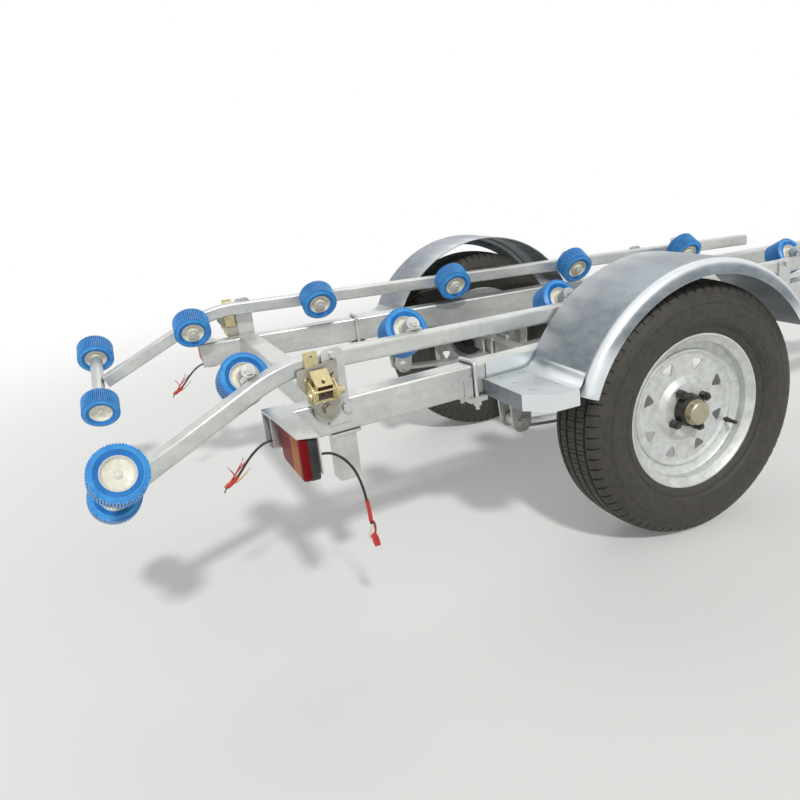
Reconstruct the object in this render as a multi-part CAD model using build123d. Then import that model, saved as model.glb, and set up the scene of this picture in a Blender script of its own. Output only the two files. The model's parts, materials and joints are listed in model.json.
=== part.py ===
"""Single-axle boat trailer with tilted hull rollers on cranked upper rails.

Real size in millimetres, +X forward to the coupling, +Y left, +Z up. It is drawn
with the axle at x = 0 and the ground at z = 0, and moved to the middle of its
length when it is written.
"""
import math
import os
from build123d import *

# Road wheels: a 165 section tyre on a 13 inch pressed steel rim
WHEEL_R = 298.0
TYRE_WIDTH = 165.0
RIM_FLANGE_R = 178.0
RIM_SEAT_R = 166.5
RIM_WIDTH = 128.0
RIM_T = 4.0
WELL_R = 143.5
FLANGE_Y = -556.0
DISC_INSET = 36.0
DISC_T = 4.0
VENTS = 8
VENT_PITCH_R = 106.0
STUDS = 4
STUD_PITCH_R = 50.0
STUD_R, STUD_L = 6.0, 30.0
NUT_ACROSS, NUT_L = 19.0, 16.0
HUB_R = 38.0
CAP_R = 27.5
CAP_REACH = 14.0

# Chassis: side rails that close in towards the coupling
RAIL_YAW = 4.93
RAIL_AXLE_Y = -349.4
RAIL_H, RAIL_W, RAIL_T = 70.0, 50.0, 3.0
RAIL_TOP = 473.0
RAIL_REAR, RAIL_FRONT = -942.0, 1500.0
MEMBER_X = (-800.0, 420.0, 1400.0)
MEMBER_W, MEMBER_H, MEMBER_T = 60.0, 60.0, 3.0
BAR, BAR_T = 70.0, 4.0
BAR_BEHIND, BAR_FRONT = 190.0, 2600.0

# Upper rails with a bend and a cranked arm at the rear
UPPER, UPPER_T = 35.0, 3.0
UPPER_DROP = 0.0233
ARM_DROP = 0.467
ARM_X, ARM_Z = -893.0, 557.4
ARM_END_X = -1213.0
ARM_BEND_R = 300.0
UPPER_FRONT = 1000.0

# Hull rollers
ROLL_R, ROLL_L = 50.5, 56.0
BOSS_R = 15.0
SHAFT_R = 10.0
TILT = 28.8
PAIR_HALF = 115.0
SIDE_U = (-956.0, -590.0, -165.0, 260.0, 685.0)
SIDE_OUT = 56.0

# Axle and leaf springs
AXLE = 44.0
AXLE_INSET = 112.0
STUB_R, STUB_L = 15.0, 91.0
SPRING_Y = -340.0
LEAF_W, LEAF_T = 45.0, 8.0
SPRING_HALF = 345.0
EYE_R, EYE_BORE = 16.0, 8.2
EYE_Z = 303.0

# Mudguards
GUARD_R, GUARD_T = 350.0, 2.5
ROLLED_T = 3.5
GUARD_IN, GUARD_OUT = -378.0, -595.0
SHOULDER = 26.0
LIP = 34.0
STEP_Z = 438.0
STEP_L = 102.0
STEP_CHAMFER = 47.0
FOOT_R = 45.0
SKIRT = 35.0
SLOT_L, SLOT_W = 18.0, 5.0
SLOT_PITCH_X, SLOT_PITCH_Y = 55.0, 62.5

# Coupler, jockey wheel and winch
COUPLER_X = 2740.0
BALL_R = 25.4
JACK_X, JACK_Y = 2200.0, 92.0
JACK_TUBE_R, JACK_TUBE_T = 24.1, 3.0
JACK_WHEEL_R, JACK_WHEEL_W = 100.0, 60.0
JACK_TRAIL = 40.0
POST_X = 1880.0
POST_H = 500.0
POST_LEAN = 110.0

# Fits
RUN = 0.3
PIN = 0.1

BAR_TOP = RAIL_TOP - MEMBER_H
NODES = {}


def add(name, *shapes):
    """Collect shapes for a node."""
    NODES.setdefault(name, []).extend(shapes)


def outline(corners):
    """Face in the XY plane from corners (x, y) or (x, y, corner radius)."""
    face = make_face(Polyline(*[c[:2] for c in corners], close=True))
    for x, y, r in [c for c in corners if len(c) == 3]:
        face = fillet(face.vertices().sort_by_distance((x, y, 0))[0], r)
    return face


def prism_x(corners, x0, x1):
    """Outline in (y, z) extruded from x0 to x1."""
    plane = Plane(origin=(x0, 0, 0), x_dir=(0, 1, 0), z_dir=(1, 0, 0))
    return extrude(plane * outline(corners), x1 - x0)


def prism_y(corners, y0, y1):
    """Outline in (x, z) extruded from y0 to y1."""
    plane = Plane(origin=(0, y1, 0), x_dir=(1, 0, 0), z_dir=(0, -1, 0))
    return extrude(plane * outline(corners), y1 - y0)


def prism_z(corners, z0, z1):
    """Outline in (x, y) extruded from z0 to z1."""
    return extrude(Plane.XY.offset(z0) * outline(corners), z1 - z0)


def box(x0, x1, y0, y1, z0, z1):
    """Box between two corners."""
    return Pos((x0 + x1) / 2, (y0 + y1) / 2, (z0 + z1) / 2) * Box(x1 - x0, y1 - y0, z1 - z0)


def rod(p, d, length, r):
    """Cylinder from p along d."""
    return Plane(origin=p, z_dir=d) * Cylinder(r, length, align=(Align.CENTER, Align.CENTER, Align.MIN))


def hexagon(p, d, across, length):
    """Hexagonal nut or bolt head from p along d."""
    return extrude(Plane(origin=p, z_dir=d) * RegularPolygon(across / 2, 6, major_radius=False), length)


def spun(corners, p, d):
    """Solid of revolution about the axis p, d from corners (axial, radial)."""
    d = Vector(*d).normalized()
    side = d.cross(Vector(1, 0, 0))
    if side.length < 0.1:
        side = d.cross(Vector(0, 0, 1))
    plane = Plane(origin=p, x_dir=d, z_dir=side.normalized())
    return revolve(plane * outline(corners), axis=Axis(p, d), revolution_arc=360)


def right(shape):
    """Place a shape drawn along the right rail: x along it, y inboard of its outer face."""
    return Location((0, RAIL_AXLE_Y, 0), (0, 0, RAIL_YAW)) * shape


def left(shape):
    """Mirror a placed right-hand shape to the left side."""
    return mirror(shape, about=Plane.XZ)


def both(name, *shapes):
    """Add right-hand shapes and their mirror images to one node."""
    for s in shapes:
        add(name, s, left(s))


def sides(stem, *shapes):
    """Add right-hand shapes to a right node and their mirror images to a left node."""
    for s in shapes:
        add(stem + "_right", s)
        add(stem + "_left", left(s))


def rail_y(x, inboard=0.0):
    """Y at x of a line that runs along the right rail, inboard of its outer face."""
    yaw = math.radians(RAIL_YAW)
    return RAIL_AXLE_Y + inboard / math.cos(yaw) + x * math.tan(yaw)


def tube(x0, x1, y0, y1, z0, z1, t):
    """Rectangular hollow section along x, its corners rounded as rolled from strip."""
    outer = [(y0, z0, 2 * t), (y1, z0, 2 * t), (y1, z1, 2 * t), (y0, z1, 2 * t)]
    inner = [(y0 + t, z0 + t, t), (y1 - t, z0 + t, t), (y1 - t, z1 - t, t), (y0 + t, z1 - t, t)]
    return prism_x(outer, x0, x1) - prism_x(inner, x0 - 1, x1 + 1)


def chassis():
    """Side rails, the members between them and the drawbar under the members."""
    both("chassis_rails", right(tube(RAIL_REAR, RAIL_FRONT, 0, RAIL_W, RAIL_TOP - RAIL_H, RAIL_TOP, RAIL_T)))
    rail = right(box(RAIL_REAR, RAIL_FRONT, 0, RAIL_W, RAIL_TOP - RAIL_H, RAIL_TOP))
    for x in MEMBER_X:
        reach = -rail_y(x, RAIL_W) + MEMBER_W * math.tan(math.radians(RAIL_YAW))
        across = tube(-reach, reach, -MEMBER_W / 2, MEMBER_W / 2, BAR_TOP, RAIL_TOP, MEMBER_T)
        add("cross_members", Pos(x, 0, 0) * Rot(0, 0, 90) * across - rail - left(rail))
    x0 = MEMBER_X[1] - BAR_BEHIND
    add("drawbar", tube(x0, BAR_FRONT, -BAR / 2, BAR / 2, BAR_TOP - BAR, BAR_TOP, BAR_T))


def upper_z(u):
    """Height of the upper rail's centre line at u, before its bend is rounded."""
    slope = -UPPER_DROP if u > ARM_X else ARM_DROP
    return ARM_Z + slope * (u - ARM_X)


def upper_bar(size, corner):
    """Solid bar along the upper rail's line, in the rail's frame."""
    corners = [(u, UPPER / 2, upper_z(u)) for u in (UPPER_FRONT, ARM_X, ARM_END_X)]
    path = FilletPolyline(*corners, radius=ARM_BEND_R)
    return sweep(Plane(origin=path @ 0, z_dir=path % 0) * RectangleRounded(size, size, corner), path=path)


def upper_rails():
    """Roller rails with their cranked rear arms."""
    both("upper_rails", right(upper_bar(UPPER, 2 * UPPER_T) - upper_bar(UPPER - 2 * UPPER_T, UPPER_T)))


TIE_W, TIE_T = 47.0, 5.0
TIE_U = (-799.0, 555.0)
TIE_ABOVE, TIE_BELOW, TIE_CORNER = 8.0, 48.0, 14.0
TIE_BOLT, TIE_HEAD = 19.0, 8.0
SMALL_BOLT, SMALL_HEAD = 13.0, 7.0


def tie_plates():
    """Plates bolted to the outer faces of both rails."""
    for u in TIE_U:
        top = upper_z(u) + UPPER / 2 + TIE_ABOVE
        low = RAIL_TOP - TIE_BELOW
        half, r = TIE_W / 2, TIE_CORNER
        corners = [(u - half, low), (u + half, low), (u + half, top, r), (u - half, top, r)]
        plate = prism_y(corners, -TIE_T, 0)
        head = hexagon((u, -TIE_T, top - SMALL_BOLT), (0, -1, 0), SMALL_BOLT, SMALL_HEAD)
        foot = hexagon((u + half - 7, -TIE_T, RAIL_TOP - 17), (0, -1, 0), TIE_BOLT, TIE_HEAD)
        both("tie_plates", right(plate + head + foot))


def axle():
    """Square axle beam with its stub ends in the hubs."""
    y = FLANGE_Y + AXLE_INSET
    beam = box(-AXLE / 2, AXLE / 2, y, -y, WHEEL_R - AXLE / 2, WHEEL_R + AXLE / 2)
    for s in (-1, 1):
        beam += rod((0, -s * (y + 1), WHEEL_R), (0, s, 0), STUB_L, STUB_R)
    add("axle", beam)


def leaf(half, top, rise):
    """One curved leaf with its middle at top and its ends raised by rise."""
    edges = []
    for z, s in ((top, 1), (top - LEAF_T, -1)):
        edges.append(ThreePointArc((-s * half, 0, z + rise), (0, 0, z), (s * half, 0, z + rise)))
    ends = [Line(edges[0] @ 1, edges[1] @ 0), Line(edges[1] @ 1, edges[0] @ 0)]
    face = make_face([edges[0], ends[0], edges[1], ends[1]])
    return Pos(0, SPRING_Y - LEAF_W / 2, 0) * extrude(face, LEAF_W, dir=(0, 1, 0))


LEAVES = ((1.0, 0), (0.67, 1), (0.41, 2))      # share of the half length, place below the main leaf
CLAMP_X, CLAMP_Y = 29.0, 27.5
CLAMP_R = 5.0
CLAMP_PLATE_X, CLAMP_PLATE_Y, CLAMP_PLATE_T = 45.0, 34.0, 8.0
CLAMP_NUT, CLAMP_TAIL = 17.0, 10.0


def springs():
    """Leaf springs under the axle, with the plates and bolts that clamp them to it."""
    top = WHEEL_R - AXLE / 2
    rise = EYE_Z - top - EYE_R / 2
    spring = None
    reach = SPRING_HALF - EYE_R / 2
    dip = rise * (AXLE / 2 / reach) ** 2
    for share, below in LEAVES:
        half = share * reach
        piece = leaf(half, top - dip - below * LEAF_T, rise * share ** 2)
        spring = piece if spring is None else spring + piece
    for x in (-SPRING_HALF, SPRING_HALF):
        spring += rod((x, SPRING_Y - LEAF_W / 2, EYE_Z), (0, 1, 0), LEAF_W, EYE_R)
    for x in (-SPRING_HALF, SPRING_HALF):
        spring -= rod((x, SPRING_Y - LEAF_W, EYE_Z), (0, 1, 0), 2 * LEAF_W, EYE_BORE)
    both("leaf_springs", spring)
    low = top - dip - len(LEAVES) * LEAF_T
    under, over = low - CLAMP_PLATE_T, WHEEL_R + AXLE / 2
    y0, y1 = SPRING_Y - CLAMP_PLATE_Y, SPRING_Y + CLAMP_PLATE_Y
    clamp = box(-CLAMP_PLATE_X, CLAMP_PLATE_X, y0, y1, under, low)
    for x in (-CLAMP_X, CLAMP_X):
        for y in (SPRING_Y - CLAMP_Y, SPRING_Y + CLAMP_Y):
            clamp += rod((x, y, under - CLAMP_TAIL), (0, 0, 1), over + 2 + 2 * CLAMP_TAIL - low, CLAMP_R)
            clamp += hexagon((x, y, under), (0, 0, -1), CLAMP_NUT, CLAMP_PLATE_T)
        reach = CLAMP_Y + CLAMP_R
        clamp += box(x - CLAMP_R, x + CLAMP_R, SPRING_Y - reach, SPRING_Y + reach, over, over + 2 * CLAMP_R)
    both("spring_hangers", clamp)


HANGER_T = 6.0
HANGER_HALF, CHEEK_HALF, CHEEK_FOOT = 38.0, 32.0, 22.0
EYE_NUT, EYE_HEAD = 24.0, 10.0


def hangers():
    """Spring hangers under the side rails: two rounded cheeks and a bolt through the eye."""
    gap, t, f = LEAF_W / 2 + 1.5, HANGER_T, CHEEK_FOOT
    for x in (-SPRING_HALF, SPRING_HALF):
        z = RAIL_TOP - RAIL_H
        y0 = min(SPRING_Y - gap - t, rail_y(x) + 6)
        y1 = max(SPRING_Y + gap + t, rail_y(x) + 40)
        part = box(x - HANGER_HALF, x + HANGER_HALF, y0, y1, z - t, z)
        cheek = [(x - CHEEK_HALF, z - 5), (x + CHEEK_HALF, z - 5)]
        cheek += [(x + f, EYE_Z - f, f - 1), (x - f, EYE_Z - f, f - 1)]
        for y in (SPRING_Y - gap - t, SPRING_Y + gap):
            part += prism_y(cheek, y, y + t)
        part += rod((x, SPRING_Y - gap - 2 * t, EYE_Z), (0, 1, 0), 2 * gap + 4 * t, EYE_BORE - PIN)
        for s in (-1, 1):
            part += hexagon((x, SPRING_Y + s * (gap + t), EYE_Z), (0, s, 0), EYE_NUT, EYE_HEAD)
        both("spring_hangers", part)


# Tyre section: share of the half width, share of the height above the rim flange
TYRE_SHAPE = (
    (0.80, 0.10), (0.92, 0.25), (1.00, 0.48), (0.96, 0.68),
    (0.86, 0.85), (0.75, 0.94), (0.56, 0.985), (0.27, 1.0),
)
BEAD = 13.0


def tyre(centre, axis):
    """Road tyre, from bead to bead."""
    half = [(RIM_WIDTH / 2 - BEAD, RIM_SEAT_R), (RIM_WIDTH / 2 - BEAD / 2, RIM_FLANGE_R + RIM_T)]
    for a, h in TYRE_SHAPE:
        half.append((a * TYRE_WIDTH / 2, RIM_FLANGE_R + h * (WHEEL_R - RIM_FLANGE_R)))
    mid = RIM_WIDTH / 2
    corners = [(mid + a, r) for a, r in half] + [(mid - a, r) for a, r in reversed(half)]
    return spun(corners, centre, axis)


def rim(centre, axis):
    """Rim barrel: two flanges, two bead seats and the well between them."""
    b, f, s, t, w = RIM_WIDTH, RIM_FLANGE_R, RIM_SEAT_R, RIM_T, WELL_R
    open_side = [(0, f), (8, f - 7), (11, s - t - 1), (30, s - t - 2), (37, w + 6), (40, w - t)]
    open_side += [(75, w - t), (86, s - t - 6), (b - 12, s - t), (b - 8, f - 7), (b, f)]
    tyre_side = [(b, f + t), (b - BEAD / 2, f + t), (b - BEAD, s), (84, s - 6), (76, w)]
    tyre_side += [(41.5, w), (33, s - 3), (BEAD, s), (BEAD / 2, f + t), (0, f + t)]
    return spun(open_side + tyre_side, centre, axis)


def disc(centre, axis):
    """Pressed wheel disc: its skirt in the well, its raised middle, vents and stud holes."""
    face, low, edge = DISC_INSET + 3, DISC_INSET - 8, WELL_R - RIM_T + 1
    front = [(face + 21, edge), (face - 3, edge), (face - 5, edge - 4.5), (face, edge - 11.5)]
    front += [(face, 78), (low, 64), (low, HUB_R + 0.6)]
    back = [(low + DISC_T, HUB_R + 0.6), (low + DISC_T, 66), (face + DISC_T, 80)]
    back += [(face + DISC_T, edge - 11.5), (face + 6, edge - 6.5), (face + 21, edge - DISC_T)]
    body = spun(front + back, centre, axis)
    vent = Pos(0, VENT_PITCH_R) * outline([(-19, 13, 5.5), (19, 13, 5.5), (0, -17, 5.5)])
    cut = extrude(Plane.XZ * vent, 2 * (face + DISC_T + 10), both=True)
    middle = Pos(*centre)
    for i in range(VENTS):
        body -= middle * Rot(0, 360 / VENTS * (i + 0.45), 0) * cut
    for x, z in stud_places():
        body -= rod((x, centre[1], centre[2] + z), axis, 60, STUD_R + 0.6)
    return body


def stud_places():
    """Places (x, z) of the studs about the wheel's middle."""
    angles = [math.radians(360 / STUDS * i + 30) for i in range(STUDS)]
    return [(STUD_PITCH_R * math.cos(a), STUD_PITCH_R * math.sin(a)) for a in angles]


def hub(centre, axis):
    """Hub with its flange behind the disc, its studs and its nuts."""
    y, z0 = centre[1], centre[2]
    seat = DISC_INSET - 8
    back = seat + DISC_T + 0.2
    bore = STUB_R + 0.05
    corners = [(8, 0.0), (8, HUB_R - 2), (20, HUB_R), (back, HUB_R), (back, 64), (back + 10, 64)]
    corners += [(back + 10, HUB_R), (84, HUB_R - 2), (84, bore), (20, bore), (20, 0.0)]
    part = spun(corners, centre, axis)
    for x, z in stud_places():
        part += rod((x, y + seat - 22, z0 + z), axis, STUD_L, STUD_R)
        part += hexagon((x, y + seat - NUT_L, z0 + z), axis, NUT_ACROSS, NUT_L)
    return part


def wheels():
    """Both road wheels, drawn on the right with their axis inboard from the outer flange."""
    centre, axis = (0, FLANGE_Y, WHEEL_R), (0, 1, 0)
    sides("tyre", tyre(centre, axis))
    sides("rim", rim(centre, axis) + disc(centre, axis))
    sides("hub", hub(centre, axis))
    rim_r = CAP_R + 2.5
    corners = [(-CAP_REACH, 0), (-CAP_REACH, CAP_R - 2.5), (3 - CAP_REACH, CAP_R), (2, CAP_R)]
    sides("grease_cap", spun(corners + [(2, rim_r), (8, rim_r), (8, 0)], centre, axis))


def foot(inset):
    """Arch radius, step height, fillet centre and fillet radius at a depth below the arch's skin."""
    r, f = GUARD_R - inset, FOOT_R + inset
    h = STEP_Z - inset - WHEEL_R
    return r, h, math.sqrt((r + f) ** 2 - (h + f) ** 2), f


def guard_sheet(end, y0, y1):
    """Arch and both steps as one bent sheet, each step out to end, from y0 to y1."""
    edges = []
    for inset in (0, GUARD_T):
        r, h, cx, f = foot(inset)
        ax, az = cx * r / (r + f), (h + f) * r / (r + f)
        turn = (math.atan2(h + f, cx) - 1.5 * math.pi) / 2
        mx, mz = cx + f * math.cos(turn), h + f + f * math.sin(turn)
        edges += [Line((-end, 0, h), (-cx, 0, h)), ThreePointArc((-cx, 0, h), (-mx, 0, mz), (-ax, 0, az)),
                  ThreePointArc((-ax, 0, az), (0, 0, r), (ax, 0, az)),
                  ThreePointArc((ax, 0, az), (mx, 0, mz), (cx, 0, h)), Line((cx, 0, h), (end, 0, h))]
    half = len(edges) // 2
    edges += [Line(edges[0] @ 0, edges[half] @ 0), Line(edges[half - 1] @ 1, edges[-1] @ 1)]
    return Pos(0, y0, WHEEL_R) * extrude(make_face(edges), y1 - y0, dir=(0, 1, 0))


def mudguard():
    """Pressed guard: arch with a rolled shoulder, a slotted step at each foot and a flange up the rail."""
    t = GUARD_T
    r, h, cx, f = foot(0)
    ax = cx * r / (r + f)
    end = cx + STEP_L
    brow = GUARD_OUT + SHOULDER
    corner = GUARD_OUT + STEP_CHAMFER
    plan = [(-end, rail_y(-end, -RUN)), (-end, corner), (STEP_CHAMFER - end, GUARD_OUT), (-cx, GUARD_OUT)]
    plan += [(-ax, brow), (ax, brow), (cx, GUARD_OUT), (end - STEP_CHAMFER, GUARD_OUT), (end, corner)]
    plan += [(end, rail_y(end, -RUN)), (cx, rail_y(cx, -RUN)), (ax, GUARD_IN), (-ax, GUARD_IN)]
    plan.append((-cx, rail_y(-cx, -RUN)))
    guard = guard_sheet(end, GUARD_OUT - 1, 0) & prism_z(plan, STEP_Z - SKIRT, WHEEL_R + GUARD_R + 1)
    bend = SHOULDER - 2
    lip = [(GUARD_OUT + SHOULDER, r), (GUARD_OUT, r, bend), (GUARD_OUT, r - LIP), (GUARD_OUT + t, r - LIP),
           (GUARD_OUT + t, r - ROLLED_T, bend - t), (GUARD_OUT + SHOULDER, r - ROLLED_T)]
    face = Plane(origin=(0, 0, WHEEL_R), x_dir=(0, 1, 0), z_dir=(1, 0, 0)) * outline(lip)
    sweep_angle = 90 - math.degrees(math.asin((h - SKIRT) / (r - LIP)))
    for d in (1, -1):
        guard += revolve(face, axis=Axis((0, 0, WHEEL_R), (0, d, 0)), revolution_arc=sweep_angle)
    for s in (-1, 1):
        gap = math.sqrt(r ** 2 - (h - SKIRT) ** 2) + 10
        step = [(s * gap, rail_y(s * gap, -RUN)), (s * end, rail_y(s * end, -RUN)), (s * end, corner),
                (s * (end - STEP_CHAMFER), GUARD_OUT), (s * gap, GUARD_OUT)]
        inside = [(x - s * t, y + t) for x, y in step]
        guard += prism_z(step, STEP_Z - SKIRT, STEP_Z - t / 2) - prism_z(inside, STEP_Z - SKIRT - 1, STEP_Z)
        near, far = s * ax, s * (end - 8)
        guard += right(box(min(near, far), max(near, far), -t - RUN, -RUN, STEP_Z - t / 2, RAIL_TOP - 1))
        for i in range(2):
            for j in range(3):
                x = s * (cx + 12 + i * SLOT_PITCH_X)
                slot = Plane.XY.offset(STEP_Z - 3 * t) * SlotOverall(SLOT_L, SLOT_W)
                guard -= Pos(x, GUARD_OUT + 64 + j * SLOT_PITCH_Y, 0) * extrude(slot, 6 * t)
    sides("mudguard", guard)


# Roller face from the rim to the bore: depth below the face, radius
ROLLER_FACE = (
    (4.0, 50.5), (0.0, 42.0), (1.6, 40.5), (1.6, 31.5),
    (0.6, 30.0), (9.0, 24.0), (11.0, 15.0), (0.0, 15.0),
)


def roller(p, d):
    """Hull roller about its middle p and axis d: chamfered tread, ringed and dished faces, central boss."""
    h = ROLL_L / 2
    scale = ROLL_R / ROLLER_FACE[0][1]
    rings = [(depth, r * scale if r > BOSS_R else BOSS_R) for depth, r in ROLLER_FACE]
    rings.append((0.0, SHAFT_R + PIN))
    corners = [(h - a, r) for a, r in rings] + [(a - h, r) for a, r in reversed(rings)]
    return spun(corners, p, d)


def tilted():
    """Axis of a right-hand roller in the rail's frame, rising outboard."""
    return Vector(0, -math.cos(math.radians(TILT)), math.sin(math.radians(TILT)))


SLEEVE_R = 17.0
END_BEYOND, END_LIFT, END_SIDE = 22.0, 17.0, 10.0
PIN_NUT, PIN_NUT_T = 22.0, 10.0
WEB_HALF, WEB_PLATE_T = 20.0, 5.0


def end_rollers():
    """Tilted pairs of rollers on cross shafts at the ends of the arms."""
    d = tilted()
    u = ARM_END_X - END_BEYOND
    mid = Vector(u, UPPER / 2 - END_SIDE, upper_z(u) + END_LIFT)
    half = PAIR_HALF - ROLL_L / 2 - 3
    for name, k in (("outer", 1), ("inner", -1)):
        sides("end_roller_" + name, right(roller(mid + d * (k * PAIR_HALF), d)))
    reach = PAIR_HALF + ROLL_L / 2 + 6
    shaft = rod(mid - d * half, d, 2 * half, SLEEVE_R) + rod(mid - d * reach, d, 2 * reach, SHAFT_R)
    both("end_shafts", right(shaft - upper_bar(UPPER, 2 * UPPER_T)))


def side_rollers():
    """Rollers along the inner side of the upper rails, each on a pin through a sleeve on the rail."""
    d = tilted()
    rail = upper_bar(UPPER, 2 * UPPER_T)
    for i, u in enumerate(SIDE_U):
        z = upper_z(u)
        mid = Vector(u, UPPER + SIDE_OUT, z + 4)
        sides("side_roller_%d" % (i + 1), right(roller(mid, d)))
        h = ROLL_L / 2
        pin = rod(mid - d * (h + 8), d, ROLL_L + 52, SHAFT_R)
        pin += hexagon(mid + d * (h + 32), d, PIN_NUT, PIN_NUT_T) + rod(mid + d * (h + 3), d, 29, BOSS_R)
        web = box(u - WEB_HALF, u + WEB_HALF, UPPER, UPPER + WEB_PLATE_T, z - UPPER / 2, z + 24)
        both("roller_pins", right(pin + web - rail))


HOOD_FRONT, HOOD_OUT = -893.0, -604.0
HOOD_T = 3.0
LAMP_OUT, LAMP_IN = -592.0, -436.0
LAMP_H = 85.0
LAMP_BODY, LENS = 16.0, 14.0
LEG_U, LEG_V = -788.5, 23.0
LEG_L, LEG_W, LEG_T = 45.0, 40.0, 3.0
LEG_END = 298.0
LEG_PLATE_HALF, LEG_PLATE_T = 33.0, 6.0
GROMMET_Y, GROMMET_Z, GROMMET_R = -560.0, 425.0, 6.8
CABLE_R = 2.5
CLIP_Y, CLIP_X = -395.0, -926.0


def lamps():
    """Lamp hoods, lamps and short box legs at the tail."""
    yaw = math.radians(RAIL_YAW)
    end_x = RAIL_REAR * math.cos(yaw)
    inner_x = end_x - RAIL_W * math.sin(yaw)
    back = HOOD_FRONT - HOOD_T
    top = [(end_x, rail_y(end_x)), (end_x + 8, HOOD_OUT + 13, 3), (HOOD_FRONT, HOOD_OUT, 3)]
    top += [(HOOD_FRONT, rail_y(HOOD_FRONT, RAIL_W)), (inner_x, rail_y(end_x, RAIL_W))]
    hood = prism_z(top, RAIL_TOP, RAIL_TOP + HOOD_T)
    low = RAIL_TOP - LAMP_H + 16
    hood += box(back, HOOD_FRONT, HOOD_OUT, rail_y(HOOD_FRONT) - RUN, low, RAIL_TOP + HOOD_T / 2)
    hood -= rod((back - 1, GROMMET_Y, GROMMET_Z), (1, 0, 0), HOOD_T + 2, GROMMET_R + 0.2)
    both("lamp_brackets", hood)
    z1 = RAIL_TOP - 2
    body = [(LAMP_OUT, z1 - LAMP_H, 12), (LAMP_IN, z1 - LAMP_H, 12), (LAMP_IN, z1, 5), (LAMP_OUT, z1, 5)]
    lamp = prism_x(body, back - LAMP_BODY, back)
    inner = [(y + (2 if y == LAMP_OUT else -2), z, r) for y, z, r in body]
    lens = prism_x(inner, back - LAMP_BODY - LENS, back - LAMP_BODY + 1)
    lens = chamfer(lens.faces().sort_by(Axis.X)[0].edges(), 4)
    grommet = rod((back - 1, GROMMET_Y, GROMMET_Z), (1, 0, 0), HOOD_T + 8, GROMMET_R)
    both("tail_lamps", lamp + lens + grommet)
    z, t = RAIL_TOP - RAIL_H, LEG_T
    u0, u1 = LEG_U - LEG_L / 2, LEG_U + LEG_L / 2
    v0, v1 = LEG_V - LEG_W / 2, LEG_V + LEG_W / 2
    leg = box(u0, u1, v0, v1, LEG_END, z - 2) - box(u0 + t, u1 - t, v0 + t, v1 - t, LEG_END - 1, z - 2)
    leg += box(LEG_U - LEG_PLATE_HALF, LEG_U + LEG_PLATE_HALF, -2, RAIL_W + 2, z - LEG_PLATE_T, z)
    both("drop_legs", right(leg))


CLAMP_U = -474.0
BAR_R = 5.0
BAR_NUT, BAR_NUT_T = 17.0, 9.0
FOOT_HALF, FOOT_OVER, FOOT_T = 22.0, 15.0, 11.0
TONGUE_H, TONGUE_T = 45.0, 5.0


def rail_clamps():
    """Square-bent bars over the side rails with their foot plates and nuts."""
    u, low = CLAMP_U, RAIL_TOP - RAIL_H
    out, up = BAR_R + 1, BAR_R + 0.5
    points = [(u, -out, low - 30), (u, -out, RAIL_TOP + up)]
    points += [(u, RAIL_W + out, RAIL_TOP + up), (u, RAIL_W + out, low - 30)]
    path = FilletPolyline(*points, radius=BAR_R + 1)
    clamp = sweep(Plane(origin=path @ 0, z_dir=path % 0) * Circle(BAR_R), path=path)
    clamp += box(u - FOOT_HALF, u + FOOT_HALF, -FOOT_OVER, RAIL_W + FOOT_OVER, low - FOOT_T, low - 0.2)
    for v in (-out, RAIL_W + out):
        clamp += hexagon((u, v, low - FOOT_T), (0, 0, -1), BAR_NUT, BAR_NUT_T)
    tongue = [(u - 28, low - 1), (u - 8, low - 1), (u - 8, low + TONGUE_H), (u - 28, low + TONGUE_H, 9)]
    clamp += prism_y(tongue, -TONGUE_T, -0.2)
    both("rail_clamps", right(clamp))


# Strap ratchets, in the rail's frame: u along the rail, v inboard of its outer face
PLATE_PIVOT = (-825.0, 463.5)
PLATE_R, PLATE_T = 28.0, 5.0
PLATE_BOLTS = ((12, 78), (22, 63))             # forward of the pivot, above the pivot
SPOOL_U, SPOOL_V, SPOOL_Z = -838.0, -32.0, 502.0
SPOOL_R = 8.0
WEB_W, WEB_T = 30.0, 5.0
ARM_T, FRAME_T, WHEEL_T = 2.5, 3.0, 4.0
TEETH = 12
TOOTH_TIP, TOOTH_ROOT = 17.0, 13.0
FOOT = 15.0
TAB_LEFT, TAB_W, TAB_UP = 20.0, 29.0, 80.0


def ratchet_plates():
    """Bracket plates with rounded feet, carried by the rear tie plates."""
    u, z = PLATE_PIVOT
    r, v = PLATE_R, -TIE_T - PLATE_T
    corners = [(u - 52, z + 86, 5), (u - 54, z + 58, 10), (u - r, z + 21, 20), (u - r, z - r, r - 0.1)]
    corners += [(u + r, z - r, r - 0.1), (u + r, z + 10), (u + 33, z + 96, 5)]
    plate = prism_y(corners, v, -TIE_T) - rod((u - 35, v - 1, z + 66), (0, 1, 0), PLATE_T + 2, 4.5)
    for du, dz in PLATE_BOLTS:
        plate += hexagon((u + du, v, z + dz), (0, -1, 0), SMALL_BOLT, SMALL_HEAD)
    both("ratchet_plates", right(plate))


def toothed(u):
    """Saw-toothed ratchet wheel on the spool's axis, from u towards the front."""
    corners = []
    for i in range(TEETH):
        a = 2 * math.pi * i / TEETH
        for r in (TOOTH_ROOT, TOOTH_TIP):
            corners.append((SPOOL_V + r * math.cos(a), SPOOL_Z + r * math.sin(a)))
    return prism_x(corners, u, u + WHEEL_T)


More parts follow.
